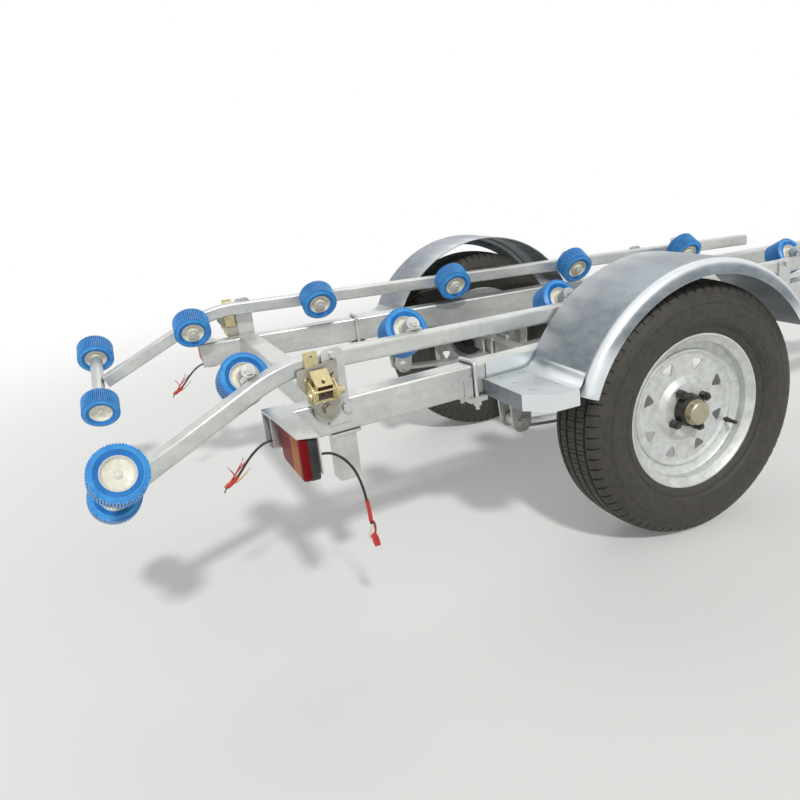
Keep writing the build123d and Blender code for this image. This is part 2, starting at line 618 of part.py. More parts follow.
def ratchets():
    """Hand ratchets: back plate and cheeks, toothed wheels, slotted spool, and the lever folded up."""
    u, z = SPOOL_U, SPOOL_Z
    back = -TIE_T - PLATE_T - FRAME_T
    arm = WEB_W / 2 + 0.5
    wheel = arm + ARM_T + 0.5
    cheek = wheel + WHEEL_T + 0.5
    wide = cheek + FRAME_T
    pu, pz = PLATE_PIVOT
    tongue = [(u - wide, z + 28, 4), (u - wide, z - 18, 4), (pu - FOOT, pz - FOOT, FOOT - 0.1)]
    tongue += [(pu + FOOT, pz - FOOT, FOOT - 0.1), (u + wide, z - 12, 4), (u + wide, z + 28, 4)]
    body = prism_y(tongue, back, back + FRAME_T)
    body += rod((pu, back, pz), (0, -1, 0), 2.5, 13)
    body += hexagon((pu, back - 2.5, pz), (0, -1, 0), TIE_BOLT, TIE_HEAD)
    v = SPOOL_V
    side = [(back + 1, z - 16), (back + 1, z + 27), (back - 12, z + 27, 6), (v - 14, z + 16, 10)]
    side += [(v - 14, z - 15, 10), (back - 12, z - 16)]
    flange = [(v + 9, z - 11, 8), (v - 12, z - 11, 8), (v - 15, z + 19), (v + 12, z + 46)]
    flange += [(v + 16, z + 42), (v + 9, z + 14)]
    plate = [(v - 15, z + 19), (v - 13, z + 17), (v + 14, z + 44), (v + 12, z + 46)]
    hole = rod((u, v - 15, z + 26), (0, 1, 0), 20, 3.5)
    lever = prism_x(plate, u - arm - ARM_T, u + arm + ARM_T) - hole
    for s in (-1, 1):
        inner = u + s * cheek
        body += prism_x(side, min(inner, inner + s * FRAME_T), max(inner, inner + s * FRAME_T))
        inner = u + s * arm
        lever += prism_x(flange, min(inner, inner + s * ARM_T), max(inner, inner + s * ARM_T))
        body += toothed(u + s * wheel - (WHEEL_T if s < 0 else 0))
    bar = rod((u - cheek - 1, v - 13, z + 9), (1, 0, 0), 2 * cheek + 2, 2.5)
    spool = rod((u - wide - 4, v, z), (1, 0, 0), 2 * wide + 5, SPOOL_R)
    spool -= box(u - arm, u + arm, v - SPOOL_R, v + SPOOL_R, z - 2, z + 2)
    spool += rod((u + wide, v, z), (1, 0, 0), 16, 9)
    u0, u1, top = u - TAB_LEFT, u - TAB_LEFT + TAB_W, z + TAB_UP
    tab = prism_y([(u0, z), (u1, z), (u1, top, 3), (u0, top, 3)], -TIE_T, -0.2)
    tab -= rod(((u0 + u1) / 2, -TIE_T - 1, top - 10), (0, 1, 0), TIE_T + 1, 3.5)
    both("ratchets", right(body + lever + bar + spool), right(tab))
    web = rod((u - WEB_W / 2, v, z), (1, 0, 0), WEB_W, SPOOL_R + WEB_T)
    web -= rod((u - WEB_W, v, z), (1, 0, 0), 2 * WEB_W, SPOOL_R + PIN)
    both("ratchet_webbing", right(web))


BALL_Z = BAR_TOP - BAR / 2
SOCKET_DEPTH = 22.0
SOCKET_WALL = 18.6
CHANNEL = 4.0
CHANNEL_BACK, CHANNEL_FRONT = 200.0, 50.0
NOSE_BACK = 60.0
LEVER_BACK, LEVER_UP = 32.0, 21.0
EAR_HALF, EAR_T = 10.0, 5.0
EAR_GAP = 12.3
GRIP_L, GRIP_HALF = 150.0, 9.0
LEVER_R, LEVER_PIN_R = 10.0, 4.0


def coupler():
    """Pressed ball coupler over the drawbar's nose, with its latch lever."""
    x, r = COUPLER_X, BALL_R + SOCKET_WALL
    half = BAR / 2 + CHANNEL
    low = BALL_Z - SOCKET_DEPTH
    top = BAR_TOP + 6
    back, front, nose = x - CHANNEL_BACK, x - CHANNEL_FRONT, x - NOSE_BACK
    body = box(back, front, -half, half, BAR_TOP, top)
    for y in (-half, BAR / 2):
        body += box(back, front, y, y + CHANNEL, BAR_TOP - BAR + 6, BAR_TOP + 3)
    side = [(nose, low), (nose, top), (x + 6, top, 22), (x + r, BALL_Z + 12, 14), (x + r, low, 4)]
    plan = [(nose, -half), (x - 14, -r, 12), (x + r, -r, r - 4)]
    plan += [(x + r, r, r - 4), (x - 14, r, 12), (nose, half)]
    body += prism_y(side, -r, r) & prism_z(plan, low, top)
    body -= Pos(x, 0, BALL_Z) * Sphere(BALL_R) + rod((x, 0, low - 1), (0, 0, 1), SOCKET_DEPTH + 1, BALL_R)
    px, pz = x - LEVER_BACK, BAR_TOP + LEVER_UP
    e, reach = EAR_HALF, EAR_GAP + EAR_T - 0.3
    ear = [(px - e, BAR_TOP + 3), (px + e, BAR_TOP + 3), (px + e, pz + 9, 9), (px - e, pz + 9, 9)]
    for y in (-EAR_GAP - EAR_T, EAR_GAP):
        body += prism_y(ear, y, y + EAR_T)
    body += rod((px, -reach, pz), (0, 1, 0), 2 * reach, LEVER_PIN_R)
    add("coupler_body", body)
    end, bend = px - GRIP_L, px - 95
    grip = [(px, pz + 2), (px, pz + 9.9), (bend, pz + 14, 20)]
    grip += [(end, pz + 4), (end, pz - 3), (bend, pz + 6, 20)]
    lever = prism_y(grip, -GRIP_HALF, GRIP_HALF) + rod((px, -12, pz), (0, 1, 0), 24, LEVER_R)
    add("coupler_lever", lever - rod((px, -13, pz), (0, 1, 0), 26, LEVER_PIN_R + 0.2))


JACK_LOW, JACK_TOP = 338.0, 808.0
JACK_LEG = 380.0
FORK_T, FORK_GAP = 5.0, 37.0
FORK_CROWN_T, FORK_PIN_R = 6.0, 8.0
CLAMP_HALF = 30.0
HANDLE_R = 6.0
CRANK_R, CRANK_EYE = 108.0, 12.0
# Grip of the crank: distance along it, radius
CRANK_GRIP = ((0, 0), (0, 9), (12, 13), (70, 12), (75, 6), (75, 0))


def jockey():
    """Jockey wheel in its swivelling fork, on a screwed leg in a clamped tube with a crank on top."""
    x, y, zc = JACK_X, JACK_Y, BALL_Z
    bore = JACK_TUBE_R + PIN
    low, high = zc - CLAMP_HALF, zc + CLAMP_HALF
    clamp = box(x - 45, x + 45, BAR / 2, BAR / 2 + 8, BAR_TOP - BAR - 6, BAR_TOP + 6)
    clamp += rod((x, y, low), (0, 0, 1), 2 * CLAMP_HALF, bore + 8)
    clamp += box(x - 14, x + 14, BAR / 2 + 4, y - bore, low, high)
    lugs = box(x + 16, x + 46, y - 10, y + 10, low, high)
    clamp += lugs - box(x, x + 60, y - 2, y + 2, low - 10, high + 10)
    clamp += rod((x + 38, y - 16, zc), (0, 1, 0), 60, HANDLE_R)
    clamp += rod((x + 38, y + 41, zc - 25), (0, 0, 1), 50, HANDLE_R - 2)
    clamp -= rod((x, y, low - 20), (0, 0, 1), 2 * CLAMP_HALF + 40, bore)
    add("jockey_clamp", clamp)
    inner = JACK_TUBE_R - JACK_TUBE_T
    length = JACK_TOP - JACK_LOW
    outer = rod((x, y, JACK_LOW), (0, 0, 1), length, JACK_TUBE_R)
    add("jockey_tube", outer - rod((x, y, JACK_LOW - 1), (0, 0, 1), length - 5, inner))
    crown = 2 * JACK_WHEEL_R + 8
    add("jockey_leg", rod((x, y, crown + 16.5), (0, 0, 1), JACK_LEG, inner - PIN))
    wx = x - JACK_TRAIL
    reach = FORK_GAP + FORK_T
    y0, y1, back, front = y - reach, y + reach, wx - 38, x + 26
    corners = [(back, y0, 8), (front, y0, 20), (front, y1, 20), (back, y1, 8)]
    fork = prism_z(corners, crown, crown + FORK_CROWN_T)
    fork += rod((x, y, crown + FORK_CROWN_T - 1), (0, 0, 1), 11, 30)
    low = JACK_WHEEL_R - 17
    cheek = [(back, crown + 3), (x + 10, crown + 3), (wx + 17, low, 16), (wx - 17, low, 16)]
    for side in (y0, y + FORK_GAP):
        fork += prism_y(cheek, side, side + FORK_T)
    fork += rod((wx, y0 - 6, JACK_WHEEL_R), (0, 1, 0), 2 * reach + 12, FORK_PIN_R)
    add("jockey_fork", fork)
    w, r, bore = JACK_WHEEL_W / 2, JACK_WHEEL_R, FORK_PIN_R + PIN
    middle, axis = (wx, y, r), (0, 1, 0)
    tread = [(-w, r - 34), (-w, r - 10), (-w + 8, r - 1), (0, r), (w - 8, r - 1), (w, r - 10), (w, r - 34)]
    add("jockey_tyre", spun(tread, middle, axis))
    near = [(-w, bore), (-w, 20), (-12, 22), (-12, 56), (3 - w, 62), (3 - w, r - 34)]
    add("jockey_rim", spun(near + [(-a, b) for a, b in reversed(near)], middle, axis))
    z, e = JACK_TOP + RUN, CRANK_EYE
    crank = rod((x, y, z), (0, 0, 1), 30, e)
    end = x + CRANK_R + e
    arm = [(x - 14, y - e, 11), (x - 14, y + e, 11), (end, y + e, 11), (end, y - e, 11)]
    crank += prism_z(arm, z + 24, z + 30)
    crank += spun(CRANK_GRIP, (x + CRANK_R, y, z + 29), (0, 0, 1))
    add("jockey_crank", crank)


WINCH_HALF, WINCH_T = 60.0, 6.0
DRUM_R, DRUM_HALF = 46.0, 50.0
SHAFT_UP = 60.0
STRAP_R = 34.0
BOW_R, BOW_HALF = 48.0, 38.0
BOW_BACK, BOW_UP = 92.0, 350.0
WINCH_CRANK = 155.0
WINCH_FOOT = 60.0
PAWL_TEETH, PAWL_ROOT, PAWL_TIP = 14, 24.0, 29.0
POST_W, POST_WALL = 60.0, 4.0
POST_FOOT_X, POST_FOOT_Y, POST_FOOT_T = 90.0, 50.0, 8.0
CHEEK_T = 6.0
# Grip of the winch crank: distance along it, radius
WINCH_GRIP = ((0, 0), (0, 9), (14, 15), (80, 14), (90, 8), (90, 0))


def winch():
    """Winch post on the drawbar, bow roller in its fork, and the strap winch on top."""
    z0, x0 = BAR_TOP, POST_X
    foot_plate = box(x0 - POST_FOOT_X, x0 + POST_FOOT_X, -POST_FOOT_Y, POST_FOOT_Y, z0, z0 + POST_FOOT_T)
    for x in (x0 - 70, x0 + 70):
        for y in (-38, 38):
            foot_plate += hexagon((x, y, z0 + POST_FOOT_T), (0, 0, 1), TIE_BOLT, TIE_HEAD)
    w, t, high = POST_W / 2, POST_WALL, z0 + POST_H
    lean = POST_LEAN / POST_H
    shell = [(x0 - w, z0 + 6), (x0 + w, z0 + 6), (x0 + w + POST_LEAN, high), (x0 - w + POST_LEAN, high)]
    hollow = [(x0 - w + t, z0 + 6), (x0 + w - t, z0 + 6), (x0 + w - t + POST_LEAN, high)]
    hollow.append((x0 - w + t + POST_LEAN, high))
    inside = prism_y(hollow, t - w, w - t)
    post = prism_y(shell, -w, w) - inside
    bx, bz = x0 - BOW_BACK, z0 + BOW_UP
    cheek_y = BOW_HALF + 2
    cheek = [(bx - 20, bz - 20, 18), (x0 + 74, bz - 50), (x0 + 80, bz), (bx - 20, bz + 22, 18)]
    for y in (-cheek_y - CHEEK_T, cheek_y):
        post += prism_y(cheek, y, y + CHEEK_T)
    post += rod((bx, -cheek_y - 18, bz), (0, 1, 0), 2 * cheek_y + 36, FORK_PIN_R)
    back = x0 + lean * (BOW_UP - 50)
    post += box(back - 34, back + 38, -cheek_y - 3, cheek_y + 3, bz - 46, bz - 5) - inside
    add("winch_post", foot_plate + post)
    b, h, bore = BOW_R, BOW_HALF, FORK_PIN_R + PIN
    bow = [(-h, bore), (-h, b - 8), (8 - h, b), (0, b - 12), (h - 8, b), (h, b - 8), (h, bore)]
    add("snubber_roller", spun(bow, (bx, 0, bz), (0, 1, 0)))
    wx, wz, f = x0 + POST_LEAN, z0 + POST_H, WINCH_FOOT
    sz = wz + SHAFT_UP
    frame = box(wx - f, wx + f, -WINCH_HALF, WINCH_HALF, wz, wz + WINCH_T)
    side = [(wx - f, wz + 3), (wx + f, wz + 3), (wx + f - 4, sz - 14), (wx + 22, sz + 34, 14)]
    side += [(wx - 22, sz + 34, 14), (wx + 4 - f, sz - 14)]
    for y in (-WINCH_HALF, WINCH_HALF - WINCH_T):
        frame += prism_y(side, y, y + WINCH_T)
    frame += rod((wx - 48, -WINCH_HALF - 4, wz + 22), (0, 1, 0), 2 * WINCH_HALF + 8, 5)
    frame -= rod((wx, -2 * WINCH_HALF, sz), (0, 1, 0), 4 * WINCH_HALF, SHAFT_R + PIN)
    add("winch_frame", frame)
    drum = rod((wx, -WINCH_HALF - 16, sz), (0, 1, 0), 2 * WINCH_HALF + 32, SHAFT_R)
    for y in (-DRUM_HALF, DRUM_HALF - 5):
        drum += rod((wx, y, sz), (0, 1, 0), 5, DRUM_R)
    teeth = []
    for i in range(PAWL_TEETH):
        a = 2 * math.pi * i / PAWL_TEETH
        teeth += [(wx + r * math.cos(a), sz + r * math.sin(a)) for r in (PAWL_ROOT, PAWL_TIP)]
    drum += prism_y(teeth, WINCH_HALF + 5, WINCH_HALF + 11)
    y, end = -WINCH_HALF - 24, sz + WINCH_CRANK + 14
    crank = [(wx - 14, sz - 14, 12), (wx + 14, sz - 14, 12), (wx + 12, end, 11), (wx - 12, end, 11)]
    drum += prism_y(crank, y, y + 8)
    drum += spun(WINCH_GRIP, (wx, y + 1, sz + WINCH_CRANK), (0, -1, 0))
    add("winch_drum", drum)
    strap = rod((wx, -DRUM_HALF + 6, sz), (0, 1, 0), 2 * DRUM_HALF - 12, STRAP_R)
    add("winch_strap", strap - rod((wx, -2 * DRUM_HALF, sz), (0, 1, 0), 4 * DRUM_HALF, SHAFT_R + PIN / 2))


# Loose cable ends, chosen point by point
CABLES = {
    "cable_front": (
        (-886, -560, 425), (-872, -560, 425), (-856, -560, 418), (-838, -560, 402),
        (-822, -560, 376), (-812, -560, 340), (-807, -560, 300), (-805, -560, 262),
    ),
    "cable_rear": (
        (-926, -395, 414), (-946, -395, 414), (-968, -395, 402), (-988, -395, 384),
        (-1006, -396, 363), (-1024, -397, 346), (-1040, -398, 339),
    ),
}


def corner_radii(points):
    """Arc radius at each inner point: 0.45 of its shorter run over the tangent of half the turn."""
    radii = []
    for a, b, c in zip(points, points[1:], points[2:]):
        back, ahead = Vector(*b) - Vector(*a), Vector(*c) - Vector(*b)
        half_turn = math.radians(back.get_angle(ahead)) / 2
        radii.append(0.45 * min(back.length, ahead.length) / math.tan(half_turn))
    return radii


def cables():
    """Lamp cables: one from the right lamp, and one out of the open end of each rail over a clip."""
    for stem, points in CABLES.items():
        radii = corner_radii(points)
        path = FilletPolyline(*points, radius=radii)
        run = sweep(Plane(origin=path @ 0, z_dir=path % 0) * Circle(CABLE_R), path=path)
        print(stem, "length %.0f, radii" % path.length, [round(r, 1) for r in radii])
        add(stem + "_right", run)
        if stem == "cable_rear":
            add(stem + "_left", left(run))
    z = RAIL_TOP - RAIL_H + RAIL_T
    clip = box(CLIP_X, CLIP_X + 8, CLIP_Y - 6, CLIP_Y + 6, z, CABLES["cable_rear"][0][2] + 5)
    both("lamp_brackets", clip)


def write():
    """Move every node so that x = 0 is the middle of the trailer's length, and write its file."""
    os.makedirs("parts", exist_ok=True)
    lasting = [shapes for name, shapes in NODES.items() if not name.startswith("cable")]
    boxes = [s.bounding_box() for shapes in lasting for s in shapes]
    shift = -(min(b.min.X for b in boxes) + max(b.max.X for b in boxes)) / 2
    print(len(NODES), "nodes, moved by %.4f" % shift)
    for name, shapes in NODES.items():
        solids = [Pos(shift, 0, 0) * solid for shape in shapes for solid in shape.solids()]
        export_step(Compound(children=solids), "parts/%s.step" % name)


MAKERS = (
    chassis, upper_rails, tie_plates, axle, springs, hangers, wheels, mudguard, end_rollers,
    side_rollers, lamps, rail_clamps, ratchet_plates, ratchets, coupler, jockey, winch, cables,
)
for make in MAKERS:
    make()
write()
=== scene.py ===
"""Looks of a single-axle boat trailer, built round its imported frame.

Lengths are in metres in the row's frame, +X to the coupling, +Y left, +Z up, and in millimetres
where a name ends in _mm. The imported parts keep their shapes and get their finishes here. Tyres,
rollers, lenses, webbing, loose cables and small fasteners are built as meshes and curves where
the frame has them.
"""
import json
import logging
import math
import random
from abc import ABC, abstractmethod
from dataclasses import dataclass
from enum import Enum
from functools import cache
from typing import Any, Iterable, Sequence

import bmesh
import bpy
from mathutils import Matrix, Vector

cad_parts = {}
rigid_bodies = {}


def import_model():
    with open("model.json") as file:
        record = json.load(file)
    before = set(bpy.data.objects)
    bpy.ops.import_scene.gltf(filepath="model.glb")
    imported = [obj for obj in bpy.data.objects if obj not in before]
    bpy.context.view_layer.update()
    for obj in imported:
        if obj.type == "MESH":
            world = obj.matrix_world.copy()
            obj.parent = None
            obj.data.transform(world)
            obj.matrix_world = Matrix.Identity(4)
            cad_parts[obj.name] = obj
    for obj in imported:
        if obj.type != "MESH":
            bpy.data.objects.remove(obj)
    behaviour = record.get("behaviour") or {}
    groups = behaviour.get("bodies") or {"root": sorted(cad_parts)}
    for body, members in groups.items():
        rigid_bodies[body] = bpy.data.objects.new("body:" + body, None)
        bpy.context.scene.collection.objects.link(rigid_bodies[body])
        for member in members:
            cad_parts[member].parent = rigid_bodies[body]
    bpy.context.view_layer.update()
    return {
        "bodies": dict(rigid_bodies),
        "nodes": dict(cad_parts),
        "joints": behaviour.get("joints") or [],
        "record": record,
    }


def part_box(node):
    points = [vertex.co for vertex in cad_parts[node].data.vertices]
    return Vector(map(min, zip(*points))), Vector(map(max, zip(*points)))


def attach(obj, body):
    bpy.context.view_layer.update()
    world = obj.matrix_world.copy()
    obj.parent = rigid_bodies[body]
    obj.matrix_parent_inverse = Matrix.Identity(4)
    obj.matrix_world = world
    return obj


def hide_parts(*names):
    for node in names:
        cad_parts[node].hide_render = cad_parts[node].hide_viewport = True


LOG = logging.getLogger("trailer")
MM = 0.001
# Angle at which the side rails close in towards the coupling.
RAIL_YAW = math.radians(4.93)
Point = Sequence[float]
Pair = tuple[float, float]
Triple = tuple[float, float, float]
Profile = tuple[Pair, ...]
Route = tuple[Triple, ...]
Tree = bpy.types.NodeTree
Node = bpy.types.Node
Socket = bpy.types.NodeSocket
Object = bpy.types.Object


class Side(Enum):
    """Side of the trailer, with the sign of its Y."""

    RIGHT = -1
    LEFT = 1

    @property
    def word(self) -> str:
        """Name of the side as the nodes have it."""
        return self.name.lower()


class Cap(Enum):
    """End of a roller that a moulded cap closes, with its sign along the roller's axis."""

    NONE = 0
    AHEAD = 1
    BEHIND = -1


class Ray(Enum):
    """Kinds of ray that see the plain background."""

    CAMERA = "Is Camera Ray"
    GLOSSY = "Is Glossy Ray"
    TRANSMISSION = "Is Transmission Ray"


def linear(hex_code: str) -> tuple[float, float, float, float]:
    """Turn an sRGB hex colour to linear.

    Args:
        hex_code: Colour such as "#c2c5c3".

    Returns:
        Linear red, green and blue, with an alpha of 1.
    """
    parts = [int(hex_code[i:i + 2], 16) / 255 for i in (1, 3, 5)]
    red, green, blue = (c / 12.92 if c <= 0.04045 else ((c + 0.055) / 1.055) ** 2.4 for c in parts)
    return red, green, blue, 1.0


def feed(tree: Tree, node: Node, inputs: dict[str | int, Any]) -> None:
    """Give a node its inputs.

    Args:
        tree: Node tree that the node is in.
        node: Node that gets them.
        inputs: Value, or socket to link from, for each input by name or place.
    """
    for name, value in inputs.items():
        if isinstance(value, Socket):
            tree.links.new(value, node.inputs[name])
        else:
            node.inputs[name].default_value = value


def add_node(tree: Tree, kind: str, inputs: dict[str | int, Any] | None = None, **settings: Any) -> Node:
    """Add a node with its settings and links.

    Args:
        tree: Node tree that gets the node.
        kind: Node type without its "ShaderNode" prefix.
        inputs: Value, or socket to link from, for each input by name or place.
        settings: Values of the node's own properties.

    Returns:
        The new node.
    """
    made = tree.nodes.new("ShaderNode" + kind)
    for name, value in settings.items():
        setattr(made, name, value)
    feed(tree, made, inputs or {})
    return made


@dataclass(frozen=True)
class Finish(ABC):
    """What a surface is made of and how it was made."""

    slot: str = ""

    @abstractmethod
    def shade(self, tree: Tree, shader: Node) -> None:
        """Set the shader and add the nodes that feed it.

        Args:
            tree: Node tree of the material.
            shader: Its Principled BSDF.
        """

    def speckle(self, tree: Tree, size_mm: float, share: float = 1.0, detail: float = 3.0,
                spread: Pair = (0.35, 0.65), stretch: Point = (1, 1, 1)) -> Socket:
        """Add a soft random pattern.

        Args:
            tree: Node tree of the material.
            size_mm: Size of one patch.
            share: Highest value of the pattern, whose lowest is 0.
            detail: Octaves of finer pattern in it.
            spread: Noise values that give the lowest and the highest.
            stretch: How much longer a patch is along each axis.

        Returns:
            Socket with the pattern.
        """
        place = add_node(tree, "TexCoord").outputs["Object"]
        scale = [1 / (size_mm * MM * s) for s in stretch]
        mapped = add_node(tree, "Mapping", {"Vector": place, "Scale": scale}).outputs[0]
        noise = add_node(tree, "TexNoise", {"Vector": mapped, "Scale": 1.0, "Detail": detail})
        low, high = spread
        ranged = add_node(tree, "MapRange", {"Value": noise.outputs["Fac"], "From Min": low,
                                             "From Max": high, "To Max": share})
        return ranged.outputs[0]

    def cover(self, tree: Tree, ground: str | Socket, colour: str, share: Socket) -> Socket:
        """Lay a colour over the ground where a pattern says.

        Args:
            tree: Node tree of the material.
            ground: Hex colour, or socket with the colour, of the ground.
            colour: Hex colour laid over it.
            share: Pattern with the share of the colour laid over it.

        Returns:
            Socket with the colour of both.
        """
        under = linear(ground) if isinstance(ground, str) else ground
        mixed = add_node(tree, "Mix", {0: share, 6: under, 7: linear(colour)}, data_type="RGBA")
        return mixed.outputs[2]

    def relief(self, tree: Tree, shader: Node, height: Socket, depth_mm: float) -> None:
        """Raise the surface by a pattern.

        Args:
            tree: Node tree of the material.
            shader: Its Principled BSDF.
            height: Pattern from 0 to 1.
            depth_mm: Depth from 0 to 1.
        """
        bump = add_node(tree, "Bump", {"Height": height, "Distance": depth_mm * MM, "Strength": 1.0})
        feed(tree, shader, {"Normal": bump.outputs[0]})


@cache
def material(finish: Finish) -> bpy.types.Material:
    """Make the material of a finish, once.

    Args:
        finish: Finish to make.

    Returns:
        Its material.
    """
    made = bpy.data.materials.new(type(finish).__name__)
    made.use_nodes = True
    finish.shade(made.node_tree, made.node_tree.nodes["Principled BSDF"])
    return made


@dataclass(frozen=True)
class GrainedFinish(Finish):
    """A finish with one fine grain all over."""

    metal: float = 0.0
    grain_mm: float = 1.0
    grain_depth_mm: float = 0.04

    def dress(self, tree: Tree, shader: Node, colour: Socket, rough: float | Socket) -> None:
        """Give the shader its colour, gloss and grain.

        Args:
            tree: Node tree of the material.
            shader: Its Principled BSDF.
            colour: Colour of the surface.
            rough: Roughness, as a number or a pattern.
        """
        feed(tree, shader, {"Base Color": colour, "Roughness": rough, "Metallic": self.metal})
        self.relief(tree, shader, self.speckle(tree, self.grain_mm), self.grain_depth_mm)


@dataclass(frozen=True)
class GalvanisedSteel(GrainedFinish):
    """Hot-dip galvanised mild steel, weathered.

    Molten zinc freezes in faint spangles and then dulls unevenly, so it reads as grey metal
    with chalky patches, long run marks and some grime, with painted shade in its corners and
    hollows and a painted highlight along its edges.
    """

    slot: str = "galvanised"
    metal: float = 0.6
    grain_mm: float = 3.0
    grain_depth_mm: float = 0.06
    zinc: str = "#c2c5c3"
    chalk: str = "#dcddd8"
    chalk_mm: float = 55.0
    chalk_spread: Pair = (0.3, 0.75)
    chalk_stretch: Triple = (2.4, 2.4, 1.0)
    grime: str = "#8f8878"
    grime_share: float = 0.24
    run_mm: float = 22.0
    run_spread: Pair = (0.5, 0.8)
    run_stretch: Triple = (7.0, 7.0, 1.0)
    spangle_mm: float = 14.0
    spangle_tone: Pair = (0.95, 1.04)
    # Painted shade: corner darkens faces where ambient occlusion finds other surfaces near.
    corner: str = "#4e4a42"
    corner_mm: float = 14.0
    dirty_below: float = 0.1
    clean_above: float = 0.6
    # Painted highlight: edge is a pale colour laid along the edges.
    edge: str = "#f2f3f0"
    edge_mm: float = 1.6
    edge_share: float = 0.55
    edge_match: Pair = (0.97, 0.8)
    smoothest: float = 0.3
    roughest: float = 0.5

    def shade(self, tree: Tree, shader: Node) -> None:
        """Mix zinc, chalk and grime, paint shade into the corners and paint a highlight on the edges.

        Args:
            tree: Node tree of the material.
            shader: Its Principled BSDF.
        """
        chalk = self.speckle(tree, self.chalk_mm, detail=5.0, spread=self.chalk_spread,
                             stretch=self.chalk_stretch)
        runs = self.speckle(tree, self.run_mm, self.grime_share, detail=4.0, spread=self.run_spread,
                            stretch=self.run_stretch)
        colour = self.cover(tree, self.zinc, self.chalk, chalk)
        colour = self.cover(tree, colour, self.grime, runs)
        place = add_node(tree, "TexCoord").outputs["Object"]
        spangle = add_node(tree, "TexVoronoi", {"Vector": place, "Scale": 1 / (self.spangle_mm * MM)})
        cell = add_node(tree, "SeparateColor", {"Color": spangle.outputs["Color"]}).outputs[0]
        darkest, lightest = self.spangle_tone
        tone = add_node(tree, "MapRange", {"Value": cell, "To Min": darkest, "To Max": lightest})
        toned = add_node(tree, "HueSaturation", {"Color": colour, "Value": tone.outputs[0]})
        # Painted light on some faces, where a subclass adds it.
        colour = self.wash(tree, toned.outputs[0])
        # Painted shade in corners and hollows, from ambient occlusion.
        nearby = add_node(tree, "AmbientOcclusion", {"Distance": self.corner_mm * MM}, samples=6)
        painted_shade = add_node(tree, "MapRange", {"Value": nearby.outputs["AO"], "From Min": self.clean_above,
                                             "From Max": self.dirty_below})
        colour = self.cover(tree, colour, self.corner, painted_shade.outputs[0])
        # Painted highlight along the edges.
        colour = self.cover(tree, colour, self.edge, self.edges(tree))
        rough = add_node(tree, "MapRange", {"Value": chalk, "To Min": self.smoothest,
                                            "To Max": self.roughest})
        self.dress(tree, shader, colour, rough.outputs[0])

    def wash(self, tree: Tree, colour: Socket) -> Socket:
        """Paint light on some faces; this steel gets none."""
        return colour

    def edges(self, tree: Tree) -> Socket:
        """Add the mask of the painted edge highlight, where a rounded normal leaves the surface's own.

        Args:
            tree: Node tree of the material.

        Returns:
            Socket with 0 on the faces and edge_share on the edges.
        """
        rounded = add_node(tree, "Bevel", {"Radius": self.edge_mm * MM}, samples=4)
        own = add_node(tree, "NewGeometry").outputs["Normal"]
        match = add_node(tree, "VectorMath", {0: rounded.outputs[0], 1: own}, operation="DOT_PRODUCT")
        face, edge = self.edge_match
        mask = add_node(tree, "MapRange", {"Value": match.outputs["Value"], "From Min": face,
                                           "From Max": edge, "To Max": self.edge_share})
        return mask.outputs[0]


@dataclass(frozen=True)
class GalvanisedSheet(GalvanisedSteel):
    """Pressed galvanised sheet: dark zinc on its flanks, with painted light on its low faces that look up.

    Its rounded shoulder carries a painted highlight.
    """

    slot: str = "guard"
    zinc: str = "#79828a"
    chalk: str = "#989fa5"
    chalk_mm: float = 16.0
    grime: str = "#7b7b74"
    grime_share: float = 0.22
    run_mm: float = 9.0
    spangle_mm: float = 6.0
    dirty_below: float = 0.35
    clean_above: float = 0.85
    edge_share: float = 0.8
    smoothest: float = 0.34
    roughest: float = 0.48
    # Painted light on the low faces that look up.
    rain: str = "#d9dddd"
    rain_share: float = 0.75
    sloping: float = 0.72
    level: float = 0.97
    splashed_mm: Pair = (530.0, 470.0)
    # Painted highlight along the rounded shoulder.
    rubbed: str = "#eef3f5"
    rubbed_share: float = 0.85
    shoulder: tuple[float, float, float, float] = (0.08, 0.42, 0.72, 0.98)

    def wash(self, tree: Tree, colour: Socket) -> Socket:
        """Paint light on the step's up-facing faces and paint a highlight on the shoulder.

        Args:
            tree: Node tree of the material.
            colour: Colour of the zinc before the painted light.

        Returns:
            Socket with the changed colour.
        """
        normal = add_node(tree, "NewGeometry").outputs["Normal"]
        facing = add_node(tree, "SeparateXYZ", {0: normal}).outputs
        place = add_node(tree, "TexCoord").outputs["Object"]
        height = add_node(tree, "SeparateXYZ", {0: place}).outputs["Z"]
        outward = add_node(tree, "Math", {0: facing["Y"]}, operation="ABSOLUTE").outputs[0]
        top_light_ends, top_light_full = (limit * MM for limit in self.splashed_mm)
        crown, begin, end, side = self.shoulder
        slopes = (
            (facing["Z"], self.sloping, self.level, self.rain_share),
            (height, top_light_ends, top_light_full, 1.0),
            (outward, crown, begin, self.rubbed_share),
            (outward, side, end, 1.0),
        )
        flat, low, rising, falling = (
            add_node(tree, "MapRange", {"Value": value, "From Min": start, "From Max": stop, "To Max": most},
                     interpolation_type="SMOOTHSTEP").outputs[0]
            for value, start, stop, most in slopes)
        # Painted light on low faces that look up.
        lit_tops = add_node(tree, "Math", {0: flat, 1: low}, operation="MULTIPLY")
        # Painted highlight on the shoulder, where the normal leans outward.
        open_side = add_node(tree, "Math", {0: falling, 1: low}, operation="MAXIMUM")
        rubbed = add_node(tree, "Math", {0: rising, 1: open_side.outputs[0]}, operation="MULTIPLY")
        colour = self.cover(tree, colour, self.rain, lit_tops.outputs[0])
        return self.cover(tree, colour, self.rubbed, rubbed.outputs[0])


@dataclass(frozen=True)
class DullZincPlate(GalvanisedSteel):
    """Dipped plate brackets whose zinc has weathered to a warm, dusty grey."""

    metal: float = 0.5
    zinc: str = "#a7a499"
    chalk: str = "#c0bdb2"
    chalk_mm: float = 24.0
    grime: str = "#7d7666"
    spangle_mm: float = 6.0


